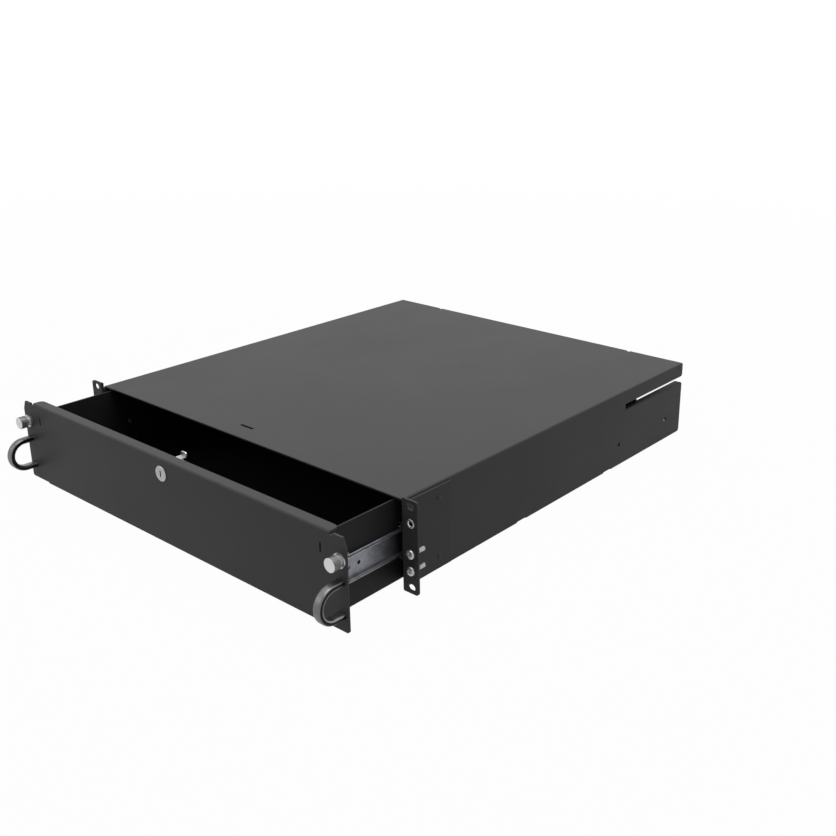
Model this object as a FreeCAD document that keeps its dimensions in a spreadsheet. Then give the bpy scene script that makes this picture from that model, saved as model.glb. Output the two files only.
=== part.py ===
import FreeCAD, Part
import Sketcher
import os
import re

# Two-unit rack drawer: a folded sleeve with rack ears, a drawer on ball-bearing slides,
# a keyed front lock, two pull handles and two captive thumbscrews.
# X runs across the rack, Y runs back into it, Z is up. The origin is the centre of the four
# ear slots, in the plane where the ears meet the rack. Every piece is drawn with the drawer
# shut and with its heights counted from the bottom of the rack space. Its Placement then
# lifts it into the part's frame and pulls the drawer's pieces open by their share.

V = FreeCAD.Vector
doc = FreeCAD.newDocument("rack_drawer")
sheet = doc.addObject("Spreadsheet::Sheet", "sizes")

# Driving sizes in millimetres
sizes = [
    ("rack_unit_height", "44.45", "height of one rack unit"),
    ("unit_count", "2", "rack units that the drawer fills"),
    ("edge_hole", "6.35", "outermost rack hole from the edge of the space"),
    ("row_pitch", "15.875", "pitch of the rack holes inside one unit"),
    ("column_spacing", "465.1", "distance between the two columns of rack holes"),
    ("ear_margin", "8.05", "ears beyond the middle of the rack holes"),
    ("drawer_pulled", "74.5", "how far the drawer stands open at rest"),
    ("wall_inset", "10.55", "sides of the sleeve inside the middle of the rack holes"),
    ("housing_top", "85", "height of the sleeve's top face"),
    ("housing_bottom", "0.1", "height of the sleeve's underside"),
    ("housing_start", "0.8", "front edge of the sleeve behind the rack face"),
    ("housing_sheet", "1.5", "sheet of the sleeve"),
    ("bend", "0.5", "inside bend radius of the sheet pieces"),
    ("lip_width", "10", "bottom lips of the sleeve, turned inward"),
    ("lip_start", "12", "front end of the bottom lips behind the rack face"),
    ("slit_length", "122.7", "length of the side slits"),
    ("slit_low", "62.3", "lower edge of the side slits"),
    ("slit_high", "69.5", "upper edge of the side slits"),
    ("shelf_width", "7.5", "tongue of each slit, folded inward"),
    ("small_corner", "3", "rounded sheet corners beside the slits"),
    ("large_corner", "5", "rounded rear bottom corners"),
    ("rear_notch_x", "149", "rear edge notches from the middle"),
    ("rear_notch_width", "5", "width of a rear edge notch"),
    ("rear_notch_depth", "2", "depth of a rear edge notch"),
    ("hook_slot_x", "-7.35", "middle of the lock slot in the sleeve's top"),
    ("hook_slot_y", "22.7", "lock slot behind the rack face"),
    ("hook_slot_long", "18.5", "length of the lock slot"),
    ("hook_slot_wide", "3.2", "width of the lock slot"),
    ("side_hole", "5", "rear bracket holes in the sides"),
    ("side_hole_end", "34", "last rear bracket hole from the rear edge"),
    ("side_hole_pitch", "98.7", "pitch of the rear bracket holes"),
    ("side_hole_z", "25.4", "height of the rear bracket holes"),
    ("brace_y", "168.5", "first floor brace behind the rack face"),
    ("brace_end", "153.2", "front of the rear floor brace from the sleeve's rear edge"),
    ("brace_width", "15.6", "width of a floor brace"),
    ("brace_play", "0.2", "play of a brace in its notch, each side"),
    ("brace_upstand", "12", "height of the brace ends against the walls"),
    ("ear_sheet", "2", "sheet of the rack ears"),
    ("ear_low", "0.4", "lower end of the ears"),
    ("ear_high", "88.3", "upper end of the ears"),
    ("ear_leg", "60", "length of the ear leg along the sleeve"),
    ("ear_leg_inset", "2.5", "leg stops short of the sleeve's top and bottom"),
    ("ear_corner", "3", "rounded outer corners of the ears"),
    ("ear_bend", "0.3", "inside bend radius of the ears"),
    ("slot_long", "8.6", "length of the ear slots"),
    ("slot_wide", "6.4", "width of the ear slots"),
    ("screw_hole", "5.6", "round ear holes of the rack screws"),
    ("screw_shank", "5", "threaded shank of a rack screw"),
    ("screw_neck", "4.4", "neck of a rack screw inside the ear"),
    ("screw_length", "16", "rack screw under its head"),
    ("screw_head", "8.8", "rack screw head"),
    ("screw_head_high", "2.6", "rack screw head height"),
    ("screw_rim", "1", "height of the rim of a rack screw head"),
    ("screw_crown", "4.4", "flat crown of a rack screw head"),
    ("insert_body", "7", "threaded insert body"),
    ("insert_flange", "8.2", "threaded insert flange"),
    ("insert_proud", "0.3", "insert flange in front of the ear"),
    ("insert_depth", "5", "insert behind the ear"),
    ("thread", "4", "thumbscrew thread"),
    ("thread_play", "0.1", "radial play of the thumbscrew in its insert"),
    ("rivet", "3", "rivet shank"),
    ("rivet_head", "6", "rivet head"),
    ("rivet_high", "0.9", "rivet head height"),
    ("rivet_crown", "3", "flat crown of a rivet head"),
    ("rivet_tail", "5", "set tail of a rivet"),
    ("rivet_play", "0.05", "radial play of a rivet in its hole"),
    ("ear_rivet_y", "16", "first ear rivet behind the rack face"),
    ("ear_rivet_pitch", "28", "pitch of the ear rivets along the leg"),
    ("ear_rivet_low", "14", "height of the lower ear rivets"),
    ("ear_rivet_high", "71", "height of the upper ear rivets"),
    ("slide_z", "41", "height of the slides' centre line"),
    ("member_height", "23.6", "height of the drawer member of a slide"),
    ("slide_strip", "1", "strip that the slide members are rolled from"),
    ("slide_bend", "0.1", "inside bend radius of the slide members"),
    ("ball", "2.5", "ball of the slides"),
    ("ball_play", "0.1", "radial play of a ball in its race"),
    ("race_bite", "0.4", "depth of a race below the flange"),
    ("cage_strip", "0.5", "strip of the ball cages"),
    ("cage_gap", "0.25", "air on each side of a cage web"),
    ("race_gap", "0.15", "flat between a race and its neighbour"),
    ("lip_gap", "0.5", "air in front of the flange edges"),
    ("member_gap", "0.35", "air between drawer member edge and cage"),
    ("cage_edge", "0.5", "cage beyond its balls"),
    ("pocket_play", "0.1", "radial play of a ball in its cage"),
    ("slide_length", "457", "length of cabinet and drawer members"),
    ("cabinet_start", "6", "front end of the cabinet member"),
    ("slide_rear_gap", "11.7", "sleeve beyond the rear end of the cabinet member"),
    ("member_start", "-2.5", "front end of the drawer member"),
    ("middle_start", "41.25", "front end of the middle member"),
    ("middle_short", "37.5", "middle member shorter than the other two"),
    ("outer_cage_start", "124", "front end of the outer ball cage"),
    ("outer_cage_length", "216", "length of the outer ball cage"),
    ("inner_cage_start", "156", "front end of the inner ball cage"),
    ("inner_cage_length", "180", "length of the inner ball cage"),
    ("cage_end", "8", "first ball from the end of its cage"),
    ("member_hole", "3.6", "open holes at the front of the drawer member"),
    ("member_hole_y", "19.5", "first open hole behind the rack face"),
    ("member_hole_pitch", "11.8", "pitch of the open holes"),
    ("member_tab_y", "17", "front end of the tab on the drawer member"),
    ("member_tab_long", "3.5", "length of the tab"),
    ("member_tab_high", "1.8", "height of the tab above the drawer member"),
    ("fix_start", "40", "first slide fixing behind the rack face"),
    ("fix_end", "49", "last slide fixing from the cabinet member's rear end"),
    ("member_fix_start", "94.5", "first drawer member rivet behind the rack face"),
    ("member_fix_end", "40", "last drawer member rivet from the member's rear end"),
    ("flush_head", "5", "flush head of a cabinet member rivet"),
    ("flush_depth", "0.6", "depth of a flush head"),
    ("stop_height", "8", "height of the slide end stop tab"),
    ("stop_gap", "0.6", "air between end stop and middle member"),
    ("closed_gap", "6.5", "rack face to the back of the shut faceplate"),
    ("plate_margin", "7.15", "faceplate beyond the middle of the rack holes"),
    ("plate_sheet", "2", "sheet of the faceplate"),
    ("plate_low", "2", "lower edge of the faceplate"),
    ("plate_ear_low", "3", "lower edge of the faceplate's ears"),
    ("plate_ear_high", "87.6", "upper edge of the faceplate's ears"),
    ("plate_high", "88.2", "upper face of the faceplate's flange"),
    ("plate_step_inset", "13", "step in the faceplate's lower edge, inside the sleeve's side"),
    ("flange_depth", "11.5", "depth of the top flange"),
    ("flange_inset", "0.7", "ends of the top flange inside the sleeve's side"),
    ("flange_corner", "5", "rounded rear corners of the top flange"),
    ("relief_width", "4", "bend relief beside the top flange"),
    ("relief_low", "85.4", "bottom of the bend relief"),
    ("plate_cut_wide", "3.7", "width of the cut upper corners of the faceplate"),
    ("plate_cut_high", "8.5", "height of the cut upper corners of the faceplate"),
    ("plate_foot_corner", "2.2", "rounded lower corners of the faceplate"),
    ("tray_sheet", "1.5", "sheet of the drawer tray"),
    ("tray_low", "2.1", "underside of the drawer tray"),
    ("tray_high", "81.5", "upper edge of the drawer tray"),
    ("tray_rear_gap", "7.2", "shut drawer in front of the sleeve's rear edge"),
    ("tray_return", "12", "folded front flanges of the tray"),
    ("back_sheet", "1.2", "sheet of the drawer's back panel"),
    ("back_return", "14", "folded ends of the back panel"),
    ("tab_low", "66.4", "lower end of the locating tabs"),
    ("tab_height", "8.2", "height of the locating tabs"),
    ("tab_play", "0.2", "play of a tab in its slot, each side"),
    ("tab_reach", "1.2", "tab inside its slot"),
    ("handle_low", "17.5", "height of a handle's lower leg"),
    ("handle_high", "47", "height of a handle's upper leg"),
    ("handle_reach", "27.5", "handle in front of the faceplate"),
    ("bar_width", "8.4", "handle bar across the rack"),
    ("bar_thick", "5.4", "handle bar front to back"),
    ("bar_chamfer", "1.2", "chamfered edges of the handle bar"),
    ("handle_screw", "3", "handle screw"),
    ("handle_screw_in", "8", "handle screw inside the handle leg"),
    ("handle_screw_head", "5.6", "countersunk handle screw head"),
    ("lock_z", "73.5", "height of the lock axis"),
    ("lock_bezel", "15.2", "lock bezel"),
    ("lock_bezel_high", "1.2", "bezel in front of the faceplate"),
    ("lock_bezel_edge", "0.4", "chamfer of the bezel"),
    ("lock_body", "12", "lock body through the faceplate"),
    ("lock_body_play", "0.1", "radial play of the lock body in its hole"),
    ("lock_plug", "8.5", "turning plug of the lock"),
    ("lock_plug_play", "0.08", "radial play of the plug"),
    ("lock_nut", "15", "lock nut across flats"),
    ("lock_nut_thick", "3", "lock nut thickness"),
    ("key_wide", "1.8", "width of the key way"),
    ("key_high", "6", "height of the key way"),
    ("key_deep", "6", "depth of the key way"),
    ("cam_sheet", "1.5", "sheet of the lock cam"),
    ("cam_x", "-8.05", "middle of the cam's tab"),
    ("cam_width", "8.6", "width of the cam's tab"),
    ("cam_shelf", "78.4", "height of the cam's folded shelf"),
    ("cam_top", "83.2", "top of the cam's tab"),
    ("cam_tab_corner", "4", "rounded corners of the cam's tab"),
    ("cam_reach", "6.6", "shelf length behind the cam's arm"),
    ("cam_hub", "10", "hub of the cam"),
    ("cam_square", "5", "square drive of the cam"),
    ("cam_screw", "3", "screw that holds the cam"),
    ("cam_screw_head", "7", "head of the cam screw"),
    ("cam_screw_crown", "4.6", "flat crown of the cam screw head"),
    ("cam_screw_high", "2", "cam screw head height"),
    ("cam_screw_in", "6", "cam screw inside the plug"),
    ("thumb_travel", "2.2", "travel of a thumbscrew"),
    ("thumb_back", "3.9", "screw behind the faceplate when it is pulled out"),
    ("thumb_point", "0.7", "tapered point of a thumbscrew"),
    ("ferrule_flange", "13.2", "flange of the thumbscrew ferrule"),
    ("ferrule_flange_high", "1.5", "ferrule flange in front of the faceplate"),
    ("ferrule_barrel", "9", "ferrule barrel inside the knob"),
    ("ferrule_long", "4.6", "ferrule in front of the faceplate"),
    ("ferrule_hole", "7.5", "ferrule shank through the faceplate"),
    ("knob", "12.6", "thumbscrew knob"),
    ("knob_long", "7.4", "length of the knob"),
    ("knob_face", "1.6", "front wall of the knob"),
    ("knob_gap", "0.3", "air between pressed knob and ferrule flange"),
    ("knob_play", "0.4", "radial play of the knob on the ferrule"),
    ("knob_edge", "0.5", "chamfer of the knob's front edge"),
    ("spring_wire", "0.5", "wire of the thumbscrew spring"),
    ("spring_play", "0.25", "air inside and outside the spring"),
    ("clip", "7", "retaining clip on the thumbscrew"),
    ("clip_thick", "0.6", "thickness of the retaining clip"),
]
for row, (name, value, note) in enumerate(sizes, 1):
    sheet.set("A%d" % row, name)
    sheet.set("B%d" % row, value)
    sheet.setAlias("B%d" % row, name)
    sheet.set("C%d" % row, note)
doc.recompute()

# Places and fits that follow from the driving sizes
formulas = {
    "space_height": "unit_count * rack_unit_height",
    "frame_drop": "0 - space_height / 2",
    "column_x": "column_spacing / 2",
    "ears_half": "column_x + ear_margin",
    "plate_half": "column_x + plate_margin",
    "wall_out": "column_x - wall_inset",
    "wall_in": "wall_out - housing_sheet",
    "housing_rear": "cabinet_start + slide_length + slide_rear_gap",
    "brace_rear_y": "housing_rear - brace_end",
    "slit_start": "housing_rear - slit_length",
    "side_hole_y": "housing_rear - side_hole_end - side_hole_pitch",
    "lip_in": "wall_out - lip_width",
    "shelf_in": "wall_out - shelf_width",
    "lip_top": "housing_bottom + housing_sheet",
    "ear_leg_out": "wall_out + ear_sheet",
    "hole_low_z": "edge_hole",
    "hole_high_z": "space_height - edge_hole",
    "screw_low_z": "edge_hole + row_pitch",
    "screw_high_z": "edge_hole + 2 * row_pitch",
    "thumb_z": "space_height - edge_hole - row_pitch",
    # ball races
    "ball_long": "ball / 2 * cos(22.5)",
    "ball_short": "ball / 2 * sin(22.5)",
    "race_in": "ball / 2 + ball_play",
    "race_out": "race_in + slide_strip",
    "race_flat": "race_in - race_bite",
    "race_half": "sqrt(race_in * race_in - race_flat * race_flat)",
    "bulge_half": "sqrt(race_out * race_out - (race_flat + slide_strip) * (race_flat + slide_strip))",
    "member_flat": "member_height / 2",
    "inner_row_z": "member_flat + race_flat",
    "middle_flat": "inner_row_z + race_flat",
    "middle_top": "middle_flat + slide_strip",
    "outer_row_z": "middle_top + race_flat",
    "cabinet_flat": "outer_row_z + race_flat",
    "cabinet_top": "cabinet_flat + slide_strip",
    # lengths along the slide
    "middle_length": "slide_length - middle_short",
    "fix_pitch": "(cabinet_start + slide_length - fix_end - fix_start) / 2",
    "member_fix_pitch": "(member_start + slide_length - member_fix_end - member_fix_start) / 2",
    # depths of the slide, counted inward from the sleeve's wall
    "outer_cage_web": "slide_strip + cage_gap",
    "middle_web": "outer_cage_web + cage_strip + cage_gap",
    "middle_web_in": "middle_web + slide_strip",
    "outer_row": "middle_web_in + race_gap + bulge_half",
    "inner_row": "outer_row + race_half + bulge_half + race_gap",
    "member_web": "inner_row + bulge_half + race_gap",
    "slide_depth": "member_web + slide_strip",
    "flange_edge": "slide_depth - lip_gap",
    "inner_cage_web": "middle_web_in + cage_gap",
    "member_edge": "inner_cage_web + cage_strip + member_gap",
    "slide_outer_bend": "slide_bend + slide_strip",
    # drawer
    "tray_out": "wall_in - slide_depth",
    "tray_in": "tray_out - tray_sheet",
    "tray_floor": "tray_low + tray_sheet",
    "tray_rear": "housing_rear - tray_rear_gap",
    "plate_back": "0 - closed_gap",
    "plate_front": "plate_back - plate_sheet",
    "flange_half": "wall_out - flange_inset",
    "plate_step": "wall_out - plate_step_inset",
    "relief_x": "flange_half + relief_width",
    "back_front": "tray_rear - back_return",
    # handle
    "handle_radius": "(handle_high - handle_low) / 2",
    "handle_straight": "handle_reach - bar_thick / 2 - handle_radius",
    # lock
    "cam_tab_front": "hook_slot_y - cam_sheet / 2",
    "cam_back": "hook_slot_y + cam_sheet / 2 - cam_reach",
    "cam_front": "cam_back - cam_sheet",
    # thumbscrew
    "thumb_tip": "plate_back + thumb_back",
    "ferrule_flange_front": "plate_front - ferrule_flange_high",
    "knob_rear": "ferrule_flange_front - knob_gap - thumb_travel",
    "knob_front": "knob_rear - knob_long",
    "ferrule_front": "plate_front - ferrule_long",
    "spring_front": "knob_front + knob_face",
    "shaft_front": "knob_front + knob_face / 2",
    "spring_radius": "thread / 2 + spring_play + spring_wire",
}
size_names = set(name for name, value, note in sizes)
word = re.compile(r"[a-z_]+[a-z_0-9]*")


# A length text with its names turned into cells of the sheet
def cells(text):
    def swap(found):
        name = found.group(0)
        if name in formulas:
            return "(" + cells(formulas[name]) + ")"
        if name in size_names:
            return "sizes." + name
        return name
    return word.sub(swap, str(text))


# The present value of a length text
def number(text):
    return float(sheet.evalExpression(cells(text)))


def bind(thing, path, text):
    thing.setExpression(path, cells(text))


# Bodies, placed with their share of the drawer's pull
nodes = []


def place(thing, share=0, at=("0", "0", "0")):
    bind(thing, ".Placement.Base.x", at[0])
    bind(thing, ".Placement.Base.y", "%s - %s * drawer_pulled" % (at[1], share))
    bind(thing, ".Placement.Base.z", "%s + frame_drop" % at[2])


def keep(thing):
    nodes.append(thing)
    return thing


def new_body(label, share=0, at=("0", "0", "0")):
    body = doc.addObject("PartDesign::Body", label)
    body.Label = label
    place(body, share, at)
    return keep(body)


def origin_item(body, role):
    return [item for item in body.Origin.OriginFeatures if item.Role == role][0]


# An outline is a list of corners. A corner is (x, y), or (x, y, cx, cy) where the outline
# reaches it along an arc about (cx, cy). Every corner and centre is held by a length text.
def draw(sketch, corners):
    count = len(corners)
    base = sketch.GeometryCount
    spots = [V(number(corner[0]), number(corner[1]), 0) for corner in corners]
    shapes = []
    starts = []
    ends = []
    for i in range(count):
        target = corners[(i + 1) % count]
        shape, start, end = edge_between(spots[i], spots[(i + 1) % count], target[2:])
        shapes.append(shape)
        starts.append(start)
        ends.append(end)
    sketch.addGeometry(shapes)
    wanted = []
    for i in range(count):
        j = (i + 1) % count
        wanted.append((Sketcher.Constraint("Coincident", base + i, ends[i],
                                           base + j, starts[j]), None))
        wanted.append(held("DistanceX", base + i, starts[i], corners[i][0]))
        wanted.append(held("DistanceY", base + i, starts[i], corners[i][1]))
        if len(corners[j]) > 2:
            chord = spots[j] - spots[i]
            if abs(chord.y) > abs(chord.x):
                wanted.append(held("DistanceX", base + i, 3, corners[j][2]))
            else:
                wanted.append(held("DistanceY", base + i, 3, corners[j][3]))
    constrain(sketch, wanted)


# A line, or an arc about the centre, with the numbers of its start and end points
def edge_between(a, b, centre):
    if not centre:
        return Part.LineSegment(a, b), 1, 2
    middle = V(number(centre[0]), number(centre[1]), 0)
    first = a - middle
    last = b - middle
    forward = first.x * last.y - first.y * last.x > 0
    if not forward:
        first, last = last, first
    circle = Part.Circle(middle, V(0, 0, 1), first.Length)
    arc = Part.ArcOfCircle(circle, circle.parameter(middle + first),
                           circle.parameter(middle + last))
    return (arc, 1, 2) if forward else (arc, 2, 1)


# A distance from the sketch's origin, with the text that drives it
def held(kind, item, point, text):
    return Sketcher.Constraint(kind, -1, 1, item, point, number(text)), text


def constrain(sketch, wanted):
    first = sketch.ConstraintCount
    sketch.addConstraint([constraint for constraint, text in wanted])
    for i, (constraint, text) in enumerate(wanted):
        if text is not None:
            bind(sketch, "Constraints[%d]" % (first + i), text)


def draw_circle(sketch, x, y, diameter):
    circle = Part.Circle(V(number(x), number(y), 0), V(0, 0, 1), number(diameter) / 2)
    item = sketch.addGeometry(circle)
    size = Sketcher.Constraint("Diameter", item, number(diameter))
    constrain(sketch, [held("DistanceX", item, 3, x), held("DistanceY", item, 3, y),
                       (size, diameter)])


def new_sketch(body, plane, offset="0"):
    sketch = body.newObject("Sketcher::SketchObject", body.Label + "_outline")
    sketch.AttachmentSupport = [(origin_item(body, plane + "_Plane"), "")]
    sketch.MapMode = "FlatFace"
    bind(sketch, ".AttachmentOffset.Base.z", offset)
    return sketch


# The XZ plane looks along -Y, so distances along Y change sign there
def along(plane, text):
    return "0 - (%s)" % text if plane == "XZ" else text


def fill(sketch, outlines):
    for outline in outlines:
        if outline[0] == "circle":
            draw_circle(sketch, outline[1], outline[2], outline[3])
        else:
            draw(sketch, outline)


# Material between two distances from an origin plane
def pad(body, plane, outlines, low, high):
    start = high if plane == "XZ" else low
    sketch = new_sketch(body, plane, along(plane, start))
    fill(sketch, outlines)
    feature = body.newObject("PartDesign::Pad", body.Label + "_pad")
    feature.Profile = sketch
    bind(feature, "Length", "(%s) - (%s)" % (high, low))
    body.Tip = feature
    return feature


# A cut between two distances from an origin plane
def cut(body, plane, outlines, low, high):
    start = low if plane == "XZ" else high
    sketch = new_sketch(body, plane, along(plane, start))
    fill(sketch, outlines)
    feature = body.newObject("PartDesign::Pocket", body.Label + "_cut")
    feature.Profile = sketch
    bind(feature, "Length", "(%s) - (%s)" % (high, low))
    body.Tip = feature
    return feature


def box(x_low, x_high, y_low, y_high):
    return [(x_low, y_low), (x_high, y_low), (x_high, y_high), (x_low, y_high)]


def disc(x, y, diameter):
    return ("circle", x, y, diameter)


# A slot with round ends that runs along the sketch's x
def slot(x, y, length, width):
    left = "%s - (%s - %s) / 2" % (x, length, width)
    right = "%s + (%s - %s) / 2" % (x, length, width)
    low = "%s - %s / 2" % (y, width)
    high = "%s + %s / 2" % (y, width)
    return [(left, low, left, y), (right, low), ("%s + %s / 2" % (x, length), y, right, y),
            (right, high, right, y), (left, high), ("%s - %s / 2" % (x, length), y, left, y)]


def sign(value):
    return (value > 1e-6) - (value < -1e-6)


# Steps of an axis-aligned run from one corner to the next
def heading(a, b):
    return (sign(number(b[0]) - number(a[0])), sign(number(b[1]) - number(a[1])))


# Corners of an outline, rounded where they carry a radius as (x, y, radius)
def rounded(corners):
    result = []
    count = len(corners)
    for i, corner in enumerate(corners):
        if len(corner) != 3:
            result.append(corner)
            continue
        x, y, radius = corner
        into = heading(corners[i - 1], corner)
        out = heading(corner, corners[(i + 1) % count])
        first = (step(x, -into[0], radius), step(y, -into[1], radius))
        last = (step(x, out[0], radius), step(y, out[1], radius))
        centre = (step(first[0], out[0], radius), step(first[1], out[1], radius))
        result.append(first)
        result.append(last + centre)
    return result


def step(text, direction, amount):
    if direction == 0:
        return text
    return "%s %s (%s)" % (text, "+" if direction > 0 else "-", amount)


# A folded sheet in section: its outer face runs through the given points and the sheet
# lies to the left of that run (side 1) or to the right (side -1)
def folded(path, thickness, inside, side):
    outside = "%s + %s" % (inside, thickness)
    face = []
    back = []
    for i, (x, y) in enumerate(path):
        before = heading(path[i - 1], path[i]) if i else None
        after = heading(path[i], path[i + 1]) if i + 1 < len(path) else None
        ways = [way for way in (before, after) if way]
        normal_x = sum(-way[1] * side for way in ways)
        normal_y = sum(way[0] * side for way in ways)
        inner = (step(x, normal_x, thickness), step(y, normal_y, thickness))
        if before and after:
            turn = (before[0] * after[1] - before[1] * after[0]) * side
            face.append((x, y, outside if turn > 0 else inside))
            back.append(inner + (inside if turn > 0 else outside,))
        else:
            face.append((x, y))
            back.append(inner)
    return rounded(face + back[::-1])


def mirrored(outline, side):
    if side > 0:
        return outline
    if outline[0] == "circle":
        return ("circle", "0 - (%s)" % outline[1], outline[2], outline[3])
    flipped = []
    for corner in outline:
        spot = ("0 - (%s)" % corner[0], corner[1])
        if len(corner) == 4:
            spot = spot + ("0 - (%s)" % corner[2], corner[3])
        flipped.append(spot)
    return flipped


# The waste of a rounded corner, towards x_way and y_way
def corner_waste(x, y, x_way, y_way, radius):
    near_x = step(x, -x_way, radius)
    near_y = step(y, -y_way, radius)
    return [(x, y), (x, near_y), (near_x, y, near_x, near_y)]


# A turned piece about the Y axis, from corners given as (radius, y)
def turned(body, corners):
    sketch = new_sketch(body, "XY")
    draw(sketch, corners)
    feature = body.newObject("PartDesign::Revolution", body.Label + "_turned")
    feature.Profile = sketch
    feature.ReferenceAxis = (sketch, ["V_Axis"])
    feature.Angle = 360
    body.Tip = feature
    return feature


# One node that holds copies of a loose master piece. A place is (x, y, z, turn about Z).
def group(label, master, places, share=0):
    links = []
    for x, y, z, turn in places:
        link = doc.addObject("App::Link", label + "_copy")
        link.LinkedObject = master
        link.LinkPlacement = FreeCAD.Placement(V(0, 0, 0), FreeCAD.Rotation(V(0, 0, 1), turn))
        bind(link, ".LinkPlacement.Base.x", x)
        bind(link, ".LinkPlacement.Base.y", y)
        bind(link, ".LinkPlacement.Base.z", z)
        links.append(link)
    whole = doc.addObject("Part::Compound", label)
    whole.Label = label
    whole.Links = links
    place(whole, share)
    return keep(whole)


def master_body(label):
    body = doc.addObject("PartDesign::Body", label)
    body.Label = label
    return body


sides = (("left", -1), ("right", 1))


def by_side(side, text):
    return "%d * (%s)" % (side, text)


# Sleeve

def housing_shell():
    body = new_body("housing_shell")
    whole = [("0 - lip_in", "housing_bottom"), ("0 - wall_out", "housing_bottom"),
             ("0 - wall_out", "housing_top"), ("wall_out", "housing_top"),
             ("wall_out", "housing_bottom"), ("lip_in", "housing_bottom")]
    upper = [("0 - wall_out", "slit_high"), ("0 - wall_out", "housing_top"),
             ("wall_out", "housing_top"), ("wall_out", "slit_high")]
    lower_right = [("shelf_in", "slit_low"), ("wall_out", "slit_low"),
                   ("wall_out", "housing_bottom"), ("lip_in", "housing_bottom")]
    lower_left = [("0 - lip_in", "housing_bottom"), ("0 - wall_out", "housing_bottom"),
                  ("0 - wall_out", "slit_low"), ("0 - shelf_in", "slit_low")]
    pad(body, "XZ", [folded(whole, "housing_sheet", "bend", -1)], "housing_start", "slit_start")
    for path in (upper, lower_right, lower_left):
        pad(body, "XZ", [folded(path, "housing_sheet", "bend", -1)], "slit_start", "housing_rear")
    lock_slot = box("hook_slot_x - hook_slot_long / 2", "hook_slot_x + hook_slot_long / 2",
                    "hook_slot_y - hook_slot_wide / 2", "hook_slot_y + hook_slot_wide / 2")
    rear_notches = [box("%s - rear_notch_width / 2" % x, "%s + rear_notch_width / 2" % x,
                        "housing_rear - rear_notch_depth", "housing_rear")
                    for x in ("0 - rear_notch_x", "rear_notch_x")]
    cut(body, "XY", [lock_slot] + rear_notches, "housing_top - housing_sheet", "housing_top")
    for name, side in sides:
        lip_end = mirrored(box("lip_in", "wall_in", "housing_start", "lip_start"), side)
        cut(body, "XY", [lip_end], "housing_bottom", "lip_top + bend")
    brace_notches = [box("%s - brace_width / 2 - brace_play" % y,
                         "%s + brace_width / 2 + brace_play" % y,
                         "housing_bottom", "lip_top + bend")
                     for y in ("brace_y", "brace_rear_y")]
    bracket_holes = [disc(y, "side_hole_z", "side_hole")
                     for y in ("side_hole_y", "side_hole_y + side_hole_pitch")]
    rivet_holes = [disc(y, z, "rivet + 2 * rivet_play")
                   for y in ("ear_rivet_y", "ear_rivet_y + ear_rivet_pitch")
                   for z in ("ear_rivet_low", "ear_rivet_high")]
    slide_holes = [disc(y, "slide_z", "rivet + 2 * rivet_play") for y in fixings]
    corners = [corner_waste("housing_rear", "slit_high", 1, -1, "small_corner"),
               corner_waste("housing_rear", "slit_low", 1, 1, "small_corner"),
               corner_waste("housing_rear", "housing_bottom", 1, -1, "large_corner")]
    cut(body, "YZ", brace_notches + bracket_holes + rivet_holes + slide_holes + corners,
        "0 - wall_out", "wall_out")
    return body


def floor_brace(label, middle):
    body = new_body(label)
    path = [("0 - wall_in", "housing_bottom + brace_upstand"), ("0 - wall_in", "housing_bottom"),
            ("wall_in", "housing_bottom"), ("wall_in", "housing_bottom + brace_upstand")]
    pad(body, "XZ", [folded(path, "housing_sheet", "bend", 1)],
        "%s - brace_width / 2" % middle, "%s + brace_width / 2" % middle)


def ear_bracket(name, side):
    body = new_body("ear_bracket_" + name)
    path = [("ears_half", "0 - ear_sheet"), ("wall_out", "0 - ear_sheet"), ("wall_out", "ear_leg")]
    pad(body, "XY", [mirrored(folded(path, "ear_sheet", "ear_bend", -1), side)],
        "ear_low", "ear_high")
    # The leg is lower than the face
    for low, high in (("ear_low", "housing_bottom + ear_leg_inset"),
                      ("housing_top - ear_leg_inset", "ear_high")):
        cut(body, "YZ", [box("ear_bend", "ear_leg", low, high)],
            *span(side, "wall_out", "ear_leg_out"))
    holes = [slot(by_side(side, "column_x"), z, "slot_long", "slot_wide")
             for z in ("hole_low_z", "hole_high_z")]
    holes += [disc(by_side(side, "column_x"), z, "screw_hole")
              for z in ("screw_low_z", "screw_high_z")]
    holes += [disc(by_side(side, "column_x"), "thumb_z", "insert_body")]
    holes += [mirrored(corner_waste("ears_half", z, 1, way, "ear_corner"), side)
              for z, way in (("ear_low", -1), ("ear_high", 1))]
    cut(body, "XZ", holes, "0 - ear_sheet", "0")
    rivet_holes = [disc(y, z, "rivet + 2 * rivet_play")
                   for y in ("ear_rivet_y", "ear_rivet_y + ear_rivet_pitch")
                   for z in ("ear_rivet_low", "ear_rivet_high")]
    cut(body, "YZ", rivet_holes, *span(side, "wall_out", "ear_leg_out"))


# Low and high ends of a stretch that is mirrored on the left
def span(side, near, far):
    if side > 0:
        return near, far
    return "0 - (%s)" % far, "0 - (%s)" % near


# Domed rivet: the head's seat is at y = 0 and the set tail starts at y = grip
def rivet_master(label, grip):
    body = master_body(label)
    end = "%s + rivet_high" % grip
    turned(body, [("0", "0 - rivet_high"), ("rivet_crown / 2", "0 - rivet_high"),
                  ("rivet_head / 2", "0"), ("rivet / 2", "0"), ("rivet / 2", grip),
                  ("rivet_tail / 2", grip), ("rivet_tail / 2", end), ("0", end)])
    return body


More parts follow.
